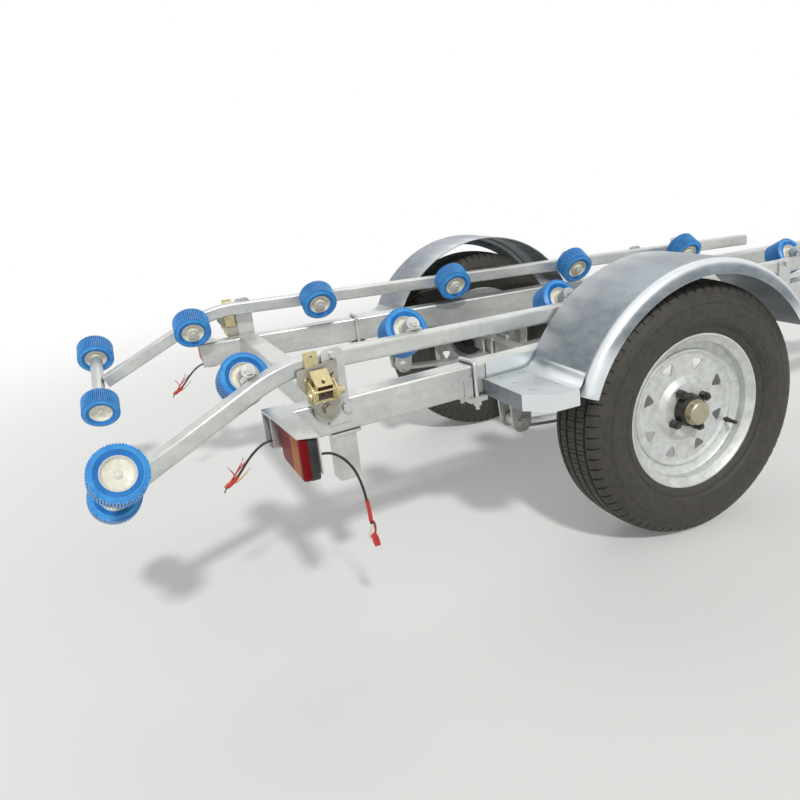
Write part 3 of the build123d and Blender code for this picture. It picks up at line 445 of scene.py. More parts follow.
@dataclass(frozen=True)
class ZincPlate(GrainedFinish):
    """Bright zinc electroplate on turned and pressed steel: even, smooth and a little blue."""

    slot: str = "zinc"
    metal: float = 0.9
    grain_mm: float = 1.2
    grain_depth_mm: float = 0.02
    plate: str = "#c9cccf"
    dulled: str = "#b3b6b6"
    patch_mm: float = 12.0
    patch_spread: Pair = (0.25, 0.8)
    smoothest: float = 0.26
    roughest: float = 0.42

    def shade(self, tree: Tree, shader: Node) -> None:
        """Dull the plate in soft patches.

        Args:
            tree: Node tree of the material.
            shader: Its Principled BSDF.
        """
        patch = self.speckle(tree, self.patch_mm, detail=5.0, spread=self.patch_spread)
        rough = add_node(tree, "MapRange", {"Value": patch, "To Min": self.smoothest,
                                            "To Max": self.roughest})
        self.dress(tree, shader, self.cover(tree, self.plate, self.dulled, patch), rough.outputs[0])


@dataclass(frozen=True)
class YellowZinc(ZincPlate):
    """Yellow chromate over zinc on stamped steel: gold with greener, dustier patches."""

    slot: str = "yellow_zinc"
    plate: str = "#e2d8ae"
    dulled: str = "#c5b47e"
    bare: str = "#a9a699"
    bare_below_mm: float = 479.0

    def shade(self, tree: Tree, shader: Node) -> None:
        """Dull the plate, and leave the foot and its bolt in plain zinc.

        Args:
            tree: Node tree of the material.
            shader: Its Principled BSDF.
        """
        super().shade(tree, shader)
        gold = shader.inputs["Base Color"].links[0].from_socket
        place = add_node(tree, "TexCoord").outputs["Object"]
        height = add_node(tree, "SeparateXYZ", {0: place}).outputs["Z"]
        low = add_node(tree, "Math", {0: height, 1: self.bare_below_mm * MM}, operation="LESS_THAN")
        feed(tree, shader, {"Base Color": self.cover(tree, gold, self.bare, low.outputs[0])})


@dataclass(frozen=True)
class GreaseCapPlate(ZincPlate):
    """Pressed cap, its zinc plate tarnished tan under a film of dust and old grease."""

    plate: str = "#c2bca6"
    dulled: str = "#aaa38a"


@dataclass(frozen=True)
class FilmedFinish(GrainedFinish):
    """An even surface with a film of dust, stain or wear on it in soft patches."""

    base: str = ""
    film: str = ""
    film_share: float = 0.35
    film_mm: float = 12.0
    film_detail: float = 3.0
    film_spread: Pair = (0.35, 0.65)
    rough: float = 0.42

    def ground(self, tree: Tree) -> str | Socket:
        """Colour of the surface under the film."""
        return self.base

    def shade(self, tree: Tree, shader: Node) -> None:
        """Lay the film over the surface.

        Args:
            tree: Node tree of the material.
            shader: Its Principled BSDF.
        """
        film = self.speckle(tree, self.film_mm, self.film_share, self.film_detail, self.film_spread)
        self.dress(tree, shader, self.cover(tree, self.ground(tree), self.film, film), self.rough)


@dataclass(frozen=True)
class SilverPaint(FilmedFinish):
    """Silver wheel enamel sprayed on pressed steel: satin, with brake dust and road film."""

    slot: str = "rim_steel"
    metal: float = 0.35
    grain_mm: float = 1.5
    grain_depth_mm: float = 0.03
    base: str = "#d8dcda"
    film: str = "#a6a296"
    film_share: float = 0.4
    film_mm: float = 18.0
    film_detail: float = 6.0


@dataclass(frozen=True)
class BlackEnamel(FilmedFinish):
    """Black enamel on a cast hub, dusty in patches."""

    slot: str = "black_steel"
    grain_depth_mm: float = 0.05
    base: str = "#262524"
    film: str = "#5c554a"
    film_mm: float = 14.0
    rough: float = 0.45


@dataclass(frozen=True)
class TyreRubber(FilmedFinish):
    """Carbon-black tyre rubber, moulded, greyed by age and dusted brown by dry mud."""

    slot: str = "tyre"
    grain_mm: float = 1.6
    grain_depth_mm: float = 0.12
    base: str = "#302f2c"
    film: str = "#5f5849"
    film_share: float = 0.38
    film_mm: float = 16.0
    film_detail: float = 8.0
    film_spread: Pair = (0.25, 0.75)
    rough: float = 0.6


@dataclass(frozen=True)
class BlackRubber(TyreRubber):
    """Solid black rubber with little dust on it."""

    slot: str = "black_rubber"
    film_share: float = 0.2


@dataclass(frozen=True)
class BlueRubber(FilmedFinish):
    """Blue moulded roller rubber: soft sheen, with paler scuffs where hulls have rolled."""

    slot: str = "blue_rubber"
    grain_depth_mm: float = 0.03
    base: str = "#42a0e4"
    deep: str = "#318dd8"
    deep_mm: float = 22.0
    film: str = "#92ccee"
    film_mm: float = 7.0
    film_detail: float = 6.0
    film_spread: Pair = (0.55, 0.8)
    rough: float = 0.38

    def ground(self, tree: Tree) -> Socket:
        """Mottled blue under the scuffs."""
        return self.cover(tree, self.base, self.deep, self.speckle(tree, self.deep_mm))


@dataclass(frozen=True)
class RecessRubber(BlueRubber):
    """The same rubber in the recessed ring, darker as painted shade."""

    base: str = "#2384d2"
    deep: str = "#1a73c0"
    film: str = "#4a9fda"


@dataclass(frozen=True)
class GrooveRubber(BlueRubber):
    """The same rubber down in the grooves, darker as painted shade."""

    base: str = "#123f8c"
    deep: str = "#0d2f6c"
    film: str = "#1c4d96"


@dataclass(frozen=True)
class CreamNylon(FilmedFinish):
    """Natural nylon bush, moulded: milky cream with a waxy sheen and a few stains."""

    slot: str = "blue_rubber"
    grain_mm: float = 2.0
    grain_depth_mm: float = 0.03
    base: str = "#eeece0"
    film: str = "#d0cab4"
    film_share: float = 0.5
    film_mm: float = 10.0


@dataclass(frozen=True)
class MouldedPlastic(FilmedFinish):
    """Black ABS housing, moulded with a fine spark grain, dull under pale dust."""

    slot: str = "lamp"
    grain_mm: float = 0.8
    base: str = "#1d1d1e"
    film: str = "#4b4a46"
    film_mm: float = 18.0
    rough: float = 0.5


@dataclass(frozen=True)
class CableSheath(FilmedFinish):
    """Extruded PVC cable sheath, satin, with a faint waviness from the extruder."""

    slot: str = "cable"
    grain_mm: float = 1.5
    base: str = "#1c1b1b"
    film: str = "#4a443b"


@dataclass(frozen=True)
class CoreInsulation(CableSheath):
    """Thin extruded PVC of a single core or a tape sleeve: satin, dusty in patches."""


@dataclass(frozen=True)
class LampLens(Finish):
    """Red acrylic lens, moulded over small prisms that show through its smooth front."""

    slot: str = "lamp"
    colour: str = "#960a12"
    deep: str = "#3f0408"
    prism_mm: float = 4.0
    prism_depth_mm: float = 0.5

    def shade(self, tree: Tree, shader: Node) -> None:
        """Put the prisms under a thin clear coat, with little gloss of their own.

        Args:
            tree: Node tree of the material.
            shader: Its Principled BSDF.
        """
        place = add_node(tree, "TexCoord").outputs["Object"]
        scale = 1 / (self.prism_mm * MM)
        cells = add_node(tree, "TexVoronoi", {"Vector": place, "Scale": scale, "Randomness": 0.0},
                         distance="CHEBYCHEV")
        prisms = cells.outputs["Distance"]
        colour = self.cover(tree, self.colour, self.deep, prisms)
        feed(tree, shader, {"Base Color": colour, "Roughness": 0.45, "Specular IOR Level": 0.06,
                            "Coat Weight": 0.12, "Coat Roughness": 0.05})
        self.relief(tree, shader, prisms, self.prism_depth_mm)


@dataclass(frozen=True)
class AmberLens(LampLens):
    """Amber acrylic band of the lens, with the same prisms."""

    colour: str = "#d07c1c"
    deep: str = "#8c480a"


@dataclass(frozen=True)
class Webbing(Finish):
    """Polyester webbing, woven: close cross ribs with a dull thread sheen and brown patches.

    The ribs are 1.8 mm wide, coarser than the real 1 mm, so that they show. A band of the
    wave pattern is wave_mm wide at a scale of 1.
    """

    slot: str = "webbing"
    thread: str = "#2c2b2b"
    gap: str = "#0d0c0c"
    # Brown patches laid over the weave.
    dust: str = "#7d5d3c"
    dust_mm: float = 6.0
    dust_share: float = 0.6
    rib_mm: float = 1.8
    rib_depth_mm: float = 0.35
    wave_mm: float = 0.314

    def shade(self, tree: Tree, shader: Node) -> None:
        """Weave ribs across the strap, on its own coordinates in millimetres.

        Args:
            tree: Node tree of the material.
            shader: Its Principled BSDF.
        """
        place = add_node(tree, "TexCoord").outputs["UV"]
        wave = {"Vector": place, "Scale": self.wave_mm / self.rib_mm}
        ribs, cords = (add_node(tree, "TexWave", wave, bands_direction=way).outputs["Fac"] for way in "XY")
        weave = add_node(tree, "Math", {0: ribs, 1: cords}, operation="MULTIPLY").outputs[0]
        colour = self.cover(tree, self.gap, self.thread, weave)
        colour = self.cover(tree, colour, self.dust, self.speckle(tree, self.dust_mm, self.dust_share))
        feed(tree, shader, {"Base Color": colour, "Roughness": 0.8, "Sheen Weight": 0.3})
        self.relief(tree, shader, weave, self.rib_depth_mm)


def show(name: str, data: bpy.types.ID) -> Object:
    """Put an object in the scene.

    Args:
        name: Name of the object.
        data: Its mesh, curve, lamp or camera.

    Returns:
        The new object.
    """
    made = bpy.data.objects.new(name, data)
    bpy.context.scene.collection.objects.link(made)
    return made


def settle(piece: Object, body: str, replaced: Sequence[str] = ()) -> None:
    """Make a piece ride on its body and stand for its nodes.

    Args:
        piece: The new piece.
        body: CAD body that carries it.
        replaced: CAD nodes that it stands for.
    """
    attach(piece, body)
    if replaced:
        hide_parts(*replaced)
    LOG.info("%s on %s, for %s", piece.name, body, ", ".join(replaced) or "no node")


def metres(points: Iterable[Point]) -> list[Point]:
    """Turn points in millimetres to metres."""
    return [tuple(value * MM for value in point) for point in points]


def aim(origin: Point, axis: Point) -> Matrix:
    """Frame at a point with its Z along an axis.

    Args:
        origin: Place of the frame.
        axis: Direction of its Z.

    Returns:
        The frame's matrix.
    """
    turn = Vector(axis).to_track_quat("Z", "Y").to_matrix().to_4x4()
    return Matrix.Translation(Vector(origin)) @ turn


def around(frame: Matrix, radius: float, turn: float, along: float) -> Vector:
    """Point at a radius, angle and height round the Z of a frame."""
    return frame @ Vector((radius * math.cos(turn), radius * math.sin(turn), along))


def side_box(node: Object, side: Side) -> tuple[Vector, Vector]:
    """Box of the part of a node that lies on one side of the trailer.

    Args:
        node: CAD node.
        side: Side of the trailer.

    Returns:
        Lowest and highest corner.
    """
    places = [v.co for v in node.data.vertices if v.co.y * side.value > 0]
    low = Vector([min(p[i] for p in places) for i in range(3)])
    high = Vector([max(p[i] for p in places) for i in range(3)])
    return low, high


class MeshMaker:
    """Collects the faces of one piece."""

    same_place: float = 0.0001 * MM

    def __init__(self, *finishes: Finish) -> None:
        """Start with no faces.

        Args:
            finishes: Finishes of the piece, the usual one first.
        """
        self.mesh = bmesh.new()
        self.finishes = finishes

    def dress(self, face: bmesh.types.BMFace, finish: Finish) -> None:
        """Give a face one of the piece's finishes."""
        face.material_index = self.finishes.index(finish)

    def grid(self, rings: Sequence[Sequence[Point]],
             finish: Finish | None = None) -> list[bmesh.types.BMFace]:
        """Join closed rows of points with quads.

        Args:
            rings: Rows with as many points each, joined in order.
            finish: Finish of the faces, where it isn't the usual one.

        Returns:
            The new faces.
        """
        rows = [[self.mesh.verts.new(p) for p in ring] for ring in rings]
        count = len(rows[0])
        faces = []
        for low, high in zip(rows, rows[1:]):
            for i in range(count):
                j = (i + 1) % count
                face = self.mesh.faces.new((low[i], low[j], high[j], high[i]))
                self.dress(face, finish or self.finishes[0])
                faces.append(face)
        return faces

    def spin(self, profile: Sequence[Point], frame: Matrix, steps: int, finish: Finish | None = None) -> None:
        """Turn a profile about an axis.

        Args:
            profile: Points (along the axis, radius).
            frame: Matrix whose Z is the axis.
            steps: Number of steps in a turn.
            finish: Finish of the faces, where it isn't the usual one.
        """
        turns = [2 * math.pi * i / steps for i in range(steps)]
        rings = [[around(frame, radius, turn, along) for turn in turns] for along, radius in profile]
        self.grid(rings, finish)

    def prism(self, outline: Sequence[Point], low: float, high: float, frame: Matrix) -> None:
        """Extrude a flat outline.

        Args:
            outline: Corners in the frame's XY plane.
            low: Lower end along Z.
            high: Upper end along Z.
            frame: Matrix of the outline's plane.
        """
        walls = self.grid([[frame @ Vector((x, y, z)) for x, y in outline] for z in (low, high)])
        self.mesh.faces.new([wall.verts[0] for wall in reversed(walls)])
        self.mesh.faces.new([wall.verts[3] for wall in walls])

    def nut(self, frame: Matrix, across: float, height: float) -> None:
        """Add a hexagonal nut or bolt head that stands on the frame's XY plane.

        Args:
            frame: Matrix whose Z is the bolt's axis.
            across: Width across its flats.
            height: Height along the axis.
        """
        radius = across / math.sqrt(3)
        outline = [(radius * math.cos(i * math.pi / 3), radius * math.sin(i * math.pi / 3)) for i in range(6)]
        self.prism(outline, 0, height, frame)

    def piece(self, name: str, smooth_deg: float = 35.0) -> Object:
        """Turn the faces to an object with its materials.

        Args:
            name: Name of the piece.
            smooth_deg: Edges turned by less than this are smooth.

        Returns:
            The new object.
        """
        bmesh.ops.remove_doubles(self.mesh, verts=self.mesh.verts, dist=self.same_place)
        bmesh.ops.recalc_face_normals(self.mesh, faces=self.mesh.faces)
        data = bpy.data.meshes.new(name)
        self.mesh.to_mesh(data)
        self.mesh.free()
        data.polygons.foreach_set("use_smooth", [True] * len(data.polygons))
        data.set_sharp_from_angle(angle=math.radians(smooth_deg))
        for finish in self.finishes:
            data.materials.append(material(finish))
        return show(name, data)


def tube(name: str, radius: float, points: Sequence[Point], finish: Finish, steps: tuple[int, int]) -> Object:
    """Build a smooth round cord as one curve.

    Args:
        name: Name of the piece.
        radius: Radius of the cord.
        points: Its control points in metres.
        finish: What it is made of.
        steps: Steps round the cord and along each stretch of it.

    Returns:
        The curve.
    """
    data = bpy.data.curves.new(name, "CURVE")
    data.dimensions = "3D"
    data.bevel_depth = radius
    data.bevel_resolution, data.resolution_u = steps
    data.use_fill_caps = True
    spline = data.splines.new("NURBS")
    spline.points.add(len(points) - 1)
    for control, place in zip(spline.points, points):
        control.co = (*place, 1.0)
    spline.order_u = 3
    spline.use_endpoint_u = True
    data.materials.append(material(finish))
    return show(name, data)


@dataclass(frozen=True)
class SoftLamp:
    """Far, soft lamp that lights the whole trailer."""

    name: str
    towards: Triple
    spread_deg: float
    level: float
    away: float = 3.0

    def hang(self) -> None:
        """Hang the lamp."""
        data = bpy.data.lights.new(self.name, "SUN")
        data.angle = math.radians(self.spread_deg)
        data.energy = self.level
        show(self.name, data).matrix_world = aim(Vector(self.towards) * self.away, self.towards)


@dataclass(frozen=True)
class Studio:
    """Pale floor, soft lamps and the camera."""

    axle_x: float
    focal_mm: float = 33.48
    sensor_mm: float = 36.0
    sight: float = 200.0
    camera_from_axle: Triple = (-1.202, -1.782, 0.906)
    camera_turn_deg: Triple = (-21.58, -17.54, 6.41)
    floor_half: float = 60.0
    floor_tone: str = "#ecece9"
    floor_rough: float = 0.9
    floor_glow: float = 0.12
    floor_near: float = 1.8
    floor_far: float = 4.5
    world_level: float = 0.36
    lamps: tuple[SoftLamp, ...] = (SoftLamp("key_lamp", (-0.12, -0.72, 0.72), 5.0, 1.75),
                                   SoftLamp("back_lamp", (0.35, 0.75, 0.9), 40.0, 0.45))

    def camera(self) -> None:
        """Stand the camera where the photograph was taken from."""
        data = bpy.data.cameras.new("camera")
        data.sensor_width = self.sensor_mm
        data.lens = self.focal_mm
        data.clip_end = self.sight
        yaw, pitch, roll = (math.radians(a) for a in self.camera_turn_deg)
        turn = Matrix.Rotation(yaw, 4, "Z") @ Matrix.Rotation(pitch, 4, "X") @ Matrix.Rotation(roll, 4, "Y")
        place = Vector(self.camera_from_axle) + Vector((self.axle_x, 0, 0))
        made = show("camera", data)
        made.matrix_world = Matrix.Translation(place) @ turn @ Matrix.Rotation(math.pi / 2, 4, "X")
        bpy.context.scene.camera = made

    def seen_share(self, tree: Tree) -> Socket:
        """Add the share of rays that show the background.

        Args:
            tree: Node tree of the world or the floor.

        Returns:
            Socket with 1 for rays of the camera, of metal and of glass.
        """
        path = add_node(tree, "LightPath")
        seen = path.outputs[Ray.CAMERA.value]
        for ray in (Ray.GLOSSY, Ray.TRANSMISSION):
            seen = add_node(tree, "Math", {0: seen, 1: path.outputs[ray.value]}, operation="ADD",
                            use_clamp=True).outputs[0]
        return seen

    def floor(self) -> None:
        """Lay a pale floor that takes the trailer's shadow and turns white away from it."""
        half = self.floor_half
        mesh = bpy.data.meshes.new("floor")
        corners = [(-half, -half, 0), (half, -half, 0), (half, half, 0), (-half, half, 0)]
        mesh.from_pydata(corners, [], [(0, 1, 2, 3)])
        surface = bpy.data.materials.new("matt_floor")
        surface.use_nodes = True
        tree = surface.node_tree
        shader = tree.nodes["Principled BSDF"]
        feed(tree, shader, {"Base Color": linear(self.floor_tone), "Roughness": self.floor_rough})
        place = add_node(tree, "TexCoord").outputs["Object"]
        away = add_node(tree, "VectorMath", {0: place}, operation="LENGTH").outputs["Value"]
        white = add_node(tree, "MapRange", {"Value": away, "From Min": self.floor_near,
                                            "From Max": self.floor_far, "To Min": self.floor_glow},
                         interpolation_type="SMOOTHSTEP")
        share = add_node(tree, "Math", {0: white.outputs[0], 1: self.seen_share(tree)}, operation="MULTIPLY")
        glow = add_node(tree, "Emission", {"Color": (1, 1, 1, 1)})
        mixed = add_node(tree, "MixShader", {0: share.outputs[0], 1: shader.outputs[0], 2: glow.outputs[0]})
        feed(tree, tree.nodes["Material Output"], {"Surface": mixed.outputs[0]})
        mesh.materials.append(surface)
        show("floor", mesh)

    def background(self) -> None:
        """Show a white world to the camera, metal and glass, and a dimmer one to everything else."""
        world = bpy.data.worlds.new("studio")
        world.use_nodes = True
        tree = world.node_tree
        tree.nodes.clear()
        level = add_node(tree, "MapRange", {"Value": self.seen_share(tree), "To Min": self.world_level})
        sky = add_node(tree, "Background", {"Color": (1, 1, 1, 1), "Strength": level.outputs[0]})
        add_node(tree, "OutputWorld", {"Surface": sky.outputs[0]})
        bpy.context.scene.world = world

    def build(self) -> None:
        """Set up the whole studio."""
        self.camera()
        self.floor()
        self.background()
        for lamp in self.lamps:
            lamp.hang()
        bpy.context.scene.view_settings.view_transform = "Standard"


@dataclass(frozen=True)
class HullRoller:
    """Ribbed roller with a cream bush, turned about its joint's axis.

    The profiles are points (depth below the face, radius). The tread's columns are points
    (share of a rib's pitch, share of the groove's depth) over one rib and its groove, whose floor
    starts at column groove_floor.
    """

    node: str
    centre: Triple
    axis: Triple
    cap: Cap
    radius: float = 50.5 * MM
    length: float = 56.0 * MM
    ribs: int = 60
    rib_depth: float = 1.8 * MM
    edge: float = 3.6 * MM
    columns: Profile = ((0.0, 0.0), (0.5, 0.0), (0.57, 1.0), (0.93, 1.0))
    groove_floor: int = 2
    face_mm: Profile = ((3.6, 48.0), (4.2, 47.4), (3.8, 46.6), (0.6, 41.4), (0.0, 40.2), (0.2, 39.4))
    recess_mm: Profile = ((0.2, 39.4), (0.9, 38.8), (4.6, 32.2), (5.2, 31.3), (5.0, 30.7), (4.4, 30.4),
                          (4.2, 30.0))
    bush_mm: Profile = ((4.2, 30.0), (4.1, 29.4), (4.6, 28.7), (11.8, 26.8), (13.6, 25.4), (14.3, 23.4))
    bore_mm: Profile = ((13.2, 17.0), (12.0, 15.6), (9.0, 15.0), (0.9, 14.8), (0.2, 14.2), (0.0, 13.4),
                        (0.0, 11.0), (0.8, 10.2), (14.0, 10.2))
    cap_mm: Profile = ((14.5, 7.8), (14.0, 7.2), (11.4, 6.9), (10.2, 5.8), (9.5, 3.6), (9.3, 0.0))
    steps: int = 96

    def tread(self, maker: MeshMaker, frame: Matrix) -> None:
        """Add the ribbed tread between the two face edges, with painted shade on its groove floors.

        Args:
            maker: Collector of the faces.
            frame: Matrix whose Z is the roller's axis.
        """
        side, root = self.length / 2 - self.edge, self.face_mm[0][1] * MM
        rings = []
        for along, toothed in ((side, False), (side, True), (-side, True), (-side, False)):
            ring = []
            for rib in range(self.ribs):
                for place, low in self.columns:
                    turn = 2 * math.pi * (rib + place) / self.ribs
                    radius = self.radius - self.rib_depth * low if toothed else root
                    ring.append(around(frame, radius, turn, along))
            rings.append(ring)
        count = len(rings[0])
        for number, face in enumerate(maker.grid(rings)):
            # Groove floors take painted shade.
            if number // count == 1 and number % len(self.columns) == self.groove_floor:
                maker.dress(face, GrooveRubber())

    def build(self) -> None:
        """Build the roller in the place of its node."""
        maker = MeshMaker(BlueRubber(), CreamNylon(), GrooveRubber(), RecessRubber())
        spin = random.Random(self.node).uniform(0, 2 * math.pi)
        frame = aim(self.centre, self.axis) @ Matrix.Rotation(spin, 4, "Z")
        self.tread(maker, frame)
        half = self.length / 2
        for sign in (1, -1):
            middle = self.cap_mm if sign == self.cap.value else self.bore_mm
            # The recessed ring takes a darker blue as painted shade.
            for profile, finish in ((self.face_mm, BlueRubber()), (self.recess_mm, RecessRubber()),
                                    (self.bush_mm + middle, CreamNylon())):
                placed = [(sign * (half - depth), radius) for depth, radius in metres(profile)]
                maker.spin(placed, frame, self.steps, finish)
        settle(maker.piece(self.node + "_rubber"), self.node, (self.node,))


@dataclass(frozen=True)
class EndShaft:
    """Cross shaft of a pair of end rollers in its welded sleeve, its ends under the rollers' caps."""

    outer: Vector
    inner: Vector
    sleeve_radius: float = 17.0 * MM
    shaft_radius: float = 10.0 * MM
    sleeve_short: float = 31.0 * MM
    shaft_long: float = 12.0 * MM
    bead: float = 1.5 * MM
    steps: int = 48

    def build(self, maker: MeshMaker) -> None:
        """Add the shaft and its sleeve.

        Args:
            maker: Collector of the faces.
        """
        half = (self.outer - self.inner).length / 2
        frame = aim((self.outer + self.inner) / 2, self.outer - self.inner)
        sleeve, shaft = half - self.sleeve_short, half + self.shaft_long
        big, small, soft = self.sleeve_radius, self.shaft_radius, self.bead
        profile = [(-shaft, 0.0), (-shaft, small), (-sleeve, small), (-sleeve, big - soft),
                   (soft - sleeve, big)]
        profile += [(-along, radius) for along, radius in reversed(profile)]
        maker.spin(profile, frame, self.steps)


@dataclass(frozen=True)
class RollerPin:
    """Pin of a side roller: web plate on the rail, welded sleeve, and a bolt with its washer.

    The profiles are points (along the pin, radius), the thread's from the foot of the bolt's head.
    The web's numbers are half its width, its outer and inner face, foot, top and corner.
    """

    side: Side
    centre: Vector
    axis: Vector
    shaft_mm: Profile = ((-36.0, 0.0), (-36.0, 8.6), (-34.6, 10.0), (31.0, 10.0))
    sleeve_mm: Profile = ((31.0, 10.0), (31.0, 14.0), (32.0, 15.0), (59.0, 15.0), (60.0, 14.0), (60.0, 12.5),
                          (61.8, 12.5), (61.8, 0.0))
    thread_mm: Profile = ((6.4, 0.0), (6.4, 4.9), (8.8, 4.9), (9.6, 4.0), (9.6, 0.0))
    head_at: float = 61.8 * MM
    head_across: float = 17.0 * MM
    head: float = 6.4 * MM
    web_mm: tuple[float, ...] = (20.0, -56.5, -51.0, -21.5, 20.0, 6.0)
    steps: int = 40
    thread_steps: int = 24

    def build(self, maker: MeshMaker) -> None:
        """Add the pin, its sleeve and bolt, and the web plate.

        Args:
            maker: Collector of the faces.
        """
        frame = aim(self.centre, self.axis)
        for profile in (self.shaft_mm, self.sleeve_mm):
            maker.spin(metres(profile), frame, self.steps)
        head = frame @ Matrix.Translation((0, 0, self.head_at))
        maker.nut(head, self.head_across, self.head)
        maker.spin(metres(self.thread_mm), head, self.thread_steps)
        wide, near, far, low, top, corner = (value * MM for value in self.web_mm)
        turn = Matrix.Rotation(-self.side.value * RAIL_YAW, 4, "Z")
        upright = Matrix.Translation(self.centre) @ turn @ Matrix.Rotation(math.pi / 2, 4, "X")
        outline = [(-wide, low), (wide, low), (wide, top - corner), (wide - corner, top),
                   (corner - wide, top), (-wide, top - corner)]
        start, end = sorted((near * self.side.value, far * self.side.value))
        maker.prism(outline, start, end, upright)


@dataclass(frozen=True)
class RoadTyre:
    """Road tyre with grooved, siped tread, built from bead to bead.

    wall_shape has points (share of half the width, share of the height over the bead) from the
    bead to the shoulder. tread_shape goes on to the middle with, besides, whether a groove runs
    there, the share of a shoulder slot's depth, and whether sipes cross it. pitch has points
    (share of a pitch, whether in a slot, whether in a sipe) round the tyre. The tread leans by
    slant pitches over the width and has as many zigzags to a pitch as zigzags says.
    """

    side: Side
    centre: Vector
    radius: float = 298.0 * MM
    width: float = 165.0 * MM
    bead_radius: float = 178.0 * MM
    pitches: int = 72
    slant: float = 0.9
    groove_depth: float = 6.5 * MM
    slot_share: float = 0.75
    sipe_share: float = 0.4
    zigzag: float = 1.3 * MM
    zigzags: int = 2
    zigzag_within: float = 0.59
    smooth_deg: float = 32.0
    wall_shape: Profile = (
        (0.62, -0.06), (0.71, -0.01), (0.77, 0.04), (0.80, 0.10), (0.835, 0.13), (0.845, 0.17),
        (0.868, 0.176), (0.872, 0.186), (0.862, 0.194), (0.902, 0.235), (0.925, 0.262), (0.932, 0.264),
        (0.93, 0.278), (0.957, 0.33), (0.966, 0.333), (0.962, 0.348), (0.985, 0.42), (0.998, 0.48),
        (1.0, 0.56), (0.993, 0.60), (0.98, 0.605), (0.98, 0.63), (0.988, 0.636), (0.97, 0.68),
        (0.955, 0.71), (0.961, 0.715), (0.944, 0.74), (0.936, 0.755), (0.941, 0.76), (0.924, 0.78),
        (0.905, 0.80))
    tread_shape: tuple[tuple[float, float, int, float, int], ...] = (
        (0.893, 0.825, 0, 0.0, 0), (0.872, 0.862, 0, 0.8, 0), (0.80, 0.925, 0, 1.0, 0),
        (0.70, 0.962, 0, 1.0, 0), (0.60, 0.977, 0, 1.0, 0), (0.585, 0.979, 0, 0.0, 0),
        (0.57, 0.980, 0, 0.0, 0), (0.555, 0.981, 1, 0.0, 0), (0.50, 0.984, 1, 0.0, 0),
        (0.485, 0.986, 0, 0.0, 0), (0.47, 0.987, 0, 0.0, 1), (0.33, 0.995, 0, 0.0, 1),
        (0.245, 0.998, 0, 0.0, 1), (0.23, 0.998, 0, 0.0, 0), (0.215, 0.999, 1, 0.0, 0),
        (0.155, 1.0, 1, 0.0, 0), (0.14, 1.0, 0, 0.0, 0), (0.125, 1.0, 0, 0.0, 1), (0.0, 1.0, 0, 0.0, 1))
    pitch: tuple[tuple[float, int, int], ...] = (
        (0.0, 1, 0), (0.1, 1, 0), (0.13, 0, 0), (0.33, 0, 0), (0.345, 0, 1), (0.385, 0, 1), (0.4, 0, 0),
        (0.7, 0, 0), (0.715, 0, 1), (0.755, 0, 1), (0.77, 0, 0), (0.97, 0, 0))

    def build(self) -> None:
        """Build the tyre in the place of its node."""
        maker = MeshMaker(TyreRubber())
        near = [(share, up, 0, 0.0, 0) for share, up in self.wall_shape] + list(self.tread_shape)
        rows = near + [(-share, *rest) for share, *rest in reversed(near[:-1])]
        rings = []
        for share, up, groove, slotted, siped in rows:
            ring = []
            across = share * self.width / 2
            height = self.bead_radius + up * (self.radius - self.bead_radius)
            lean = self.slant * across / self.width
            sway = self.zigzag if abs(share) < self.zigzag_within else 0.0
            for number in range(self.pitches):
                for place, slot, sipe in self.pitch:
                    turn = 2 * math.pi * (number + place + lean) / self.pitches
                    cut = max(groove, self.slot_share * slot * slotted, self.sipe_share * sipe * siped)
                    radius = height - self.groove_depth * cut
                    wave = sway * (abs(place * self.zigzags * 2 % 2 - 1) * 2 - 1)
                    point = Vector((radius * math.cos(turn), across + wave, radius * math.sin(turn)))
                    ring.append(self.centre + point)
            rings.append(ring)
        maker.grid(rings)
        name = "tyre_" + self.side.word
        piece = maker.piece(name + "_tread", self.smooth_deg)
        settle(piece, "wheel_" + self.side.word, (name,))


@dataclass(frozen=True)
class Core:
    """One thin core, sleeve or connector at a cable's free end."""

    finish: Finish
    radius_mm: float
    route_mm: Route


@dataclass(frozen=True)
class LooseCable:
    """Cable that hangs free from where it leaves the trailer.

    Its points are measured in millimetres from the axle of the right wheel and the ground.
    """

    node: str
    length: float
    route_mm: Route
    cores: tuple[Core, ...]
    axle_x: float
    side: Side = Side.RIGHT
    diameter: float = 5.0 * MM
    sheath_steps: tuple[int, int] = (6, 16)
    core_steps: tuple[int, int] = (4, 10)

    def placed(self, route_mm: Route) -> list[Vector]:
        """Turn points of the right side to the row's frame, mirrored for a left cable."""
        mirror = self.side.value * Side.RIGHT.value
        return [Vector((x + self.axle_x, y * mirror, z)) for x, y, z in metres(route_mm)]

    def build(self) -> None:
        """Build the sheath as one smooth curve, with the cores that hang on its end."""
        points = self.placed(self.route_mm)
        piece = tube(self.node + "_sheath", self.diameter / 2, points, CableSheath(), self.sheath_steps)
        settle(piece, "frame", (self.node,))
        for number, core in enumerate(self.cores, 1):
            name = "%s_core_%d" % (self.node, number)
            made = tube(name, core.radius_mm * MM, self.placed(core.route_mm), core.finish, self.core_steps)
            settle(made, "frame")


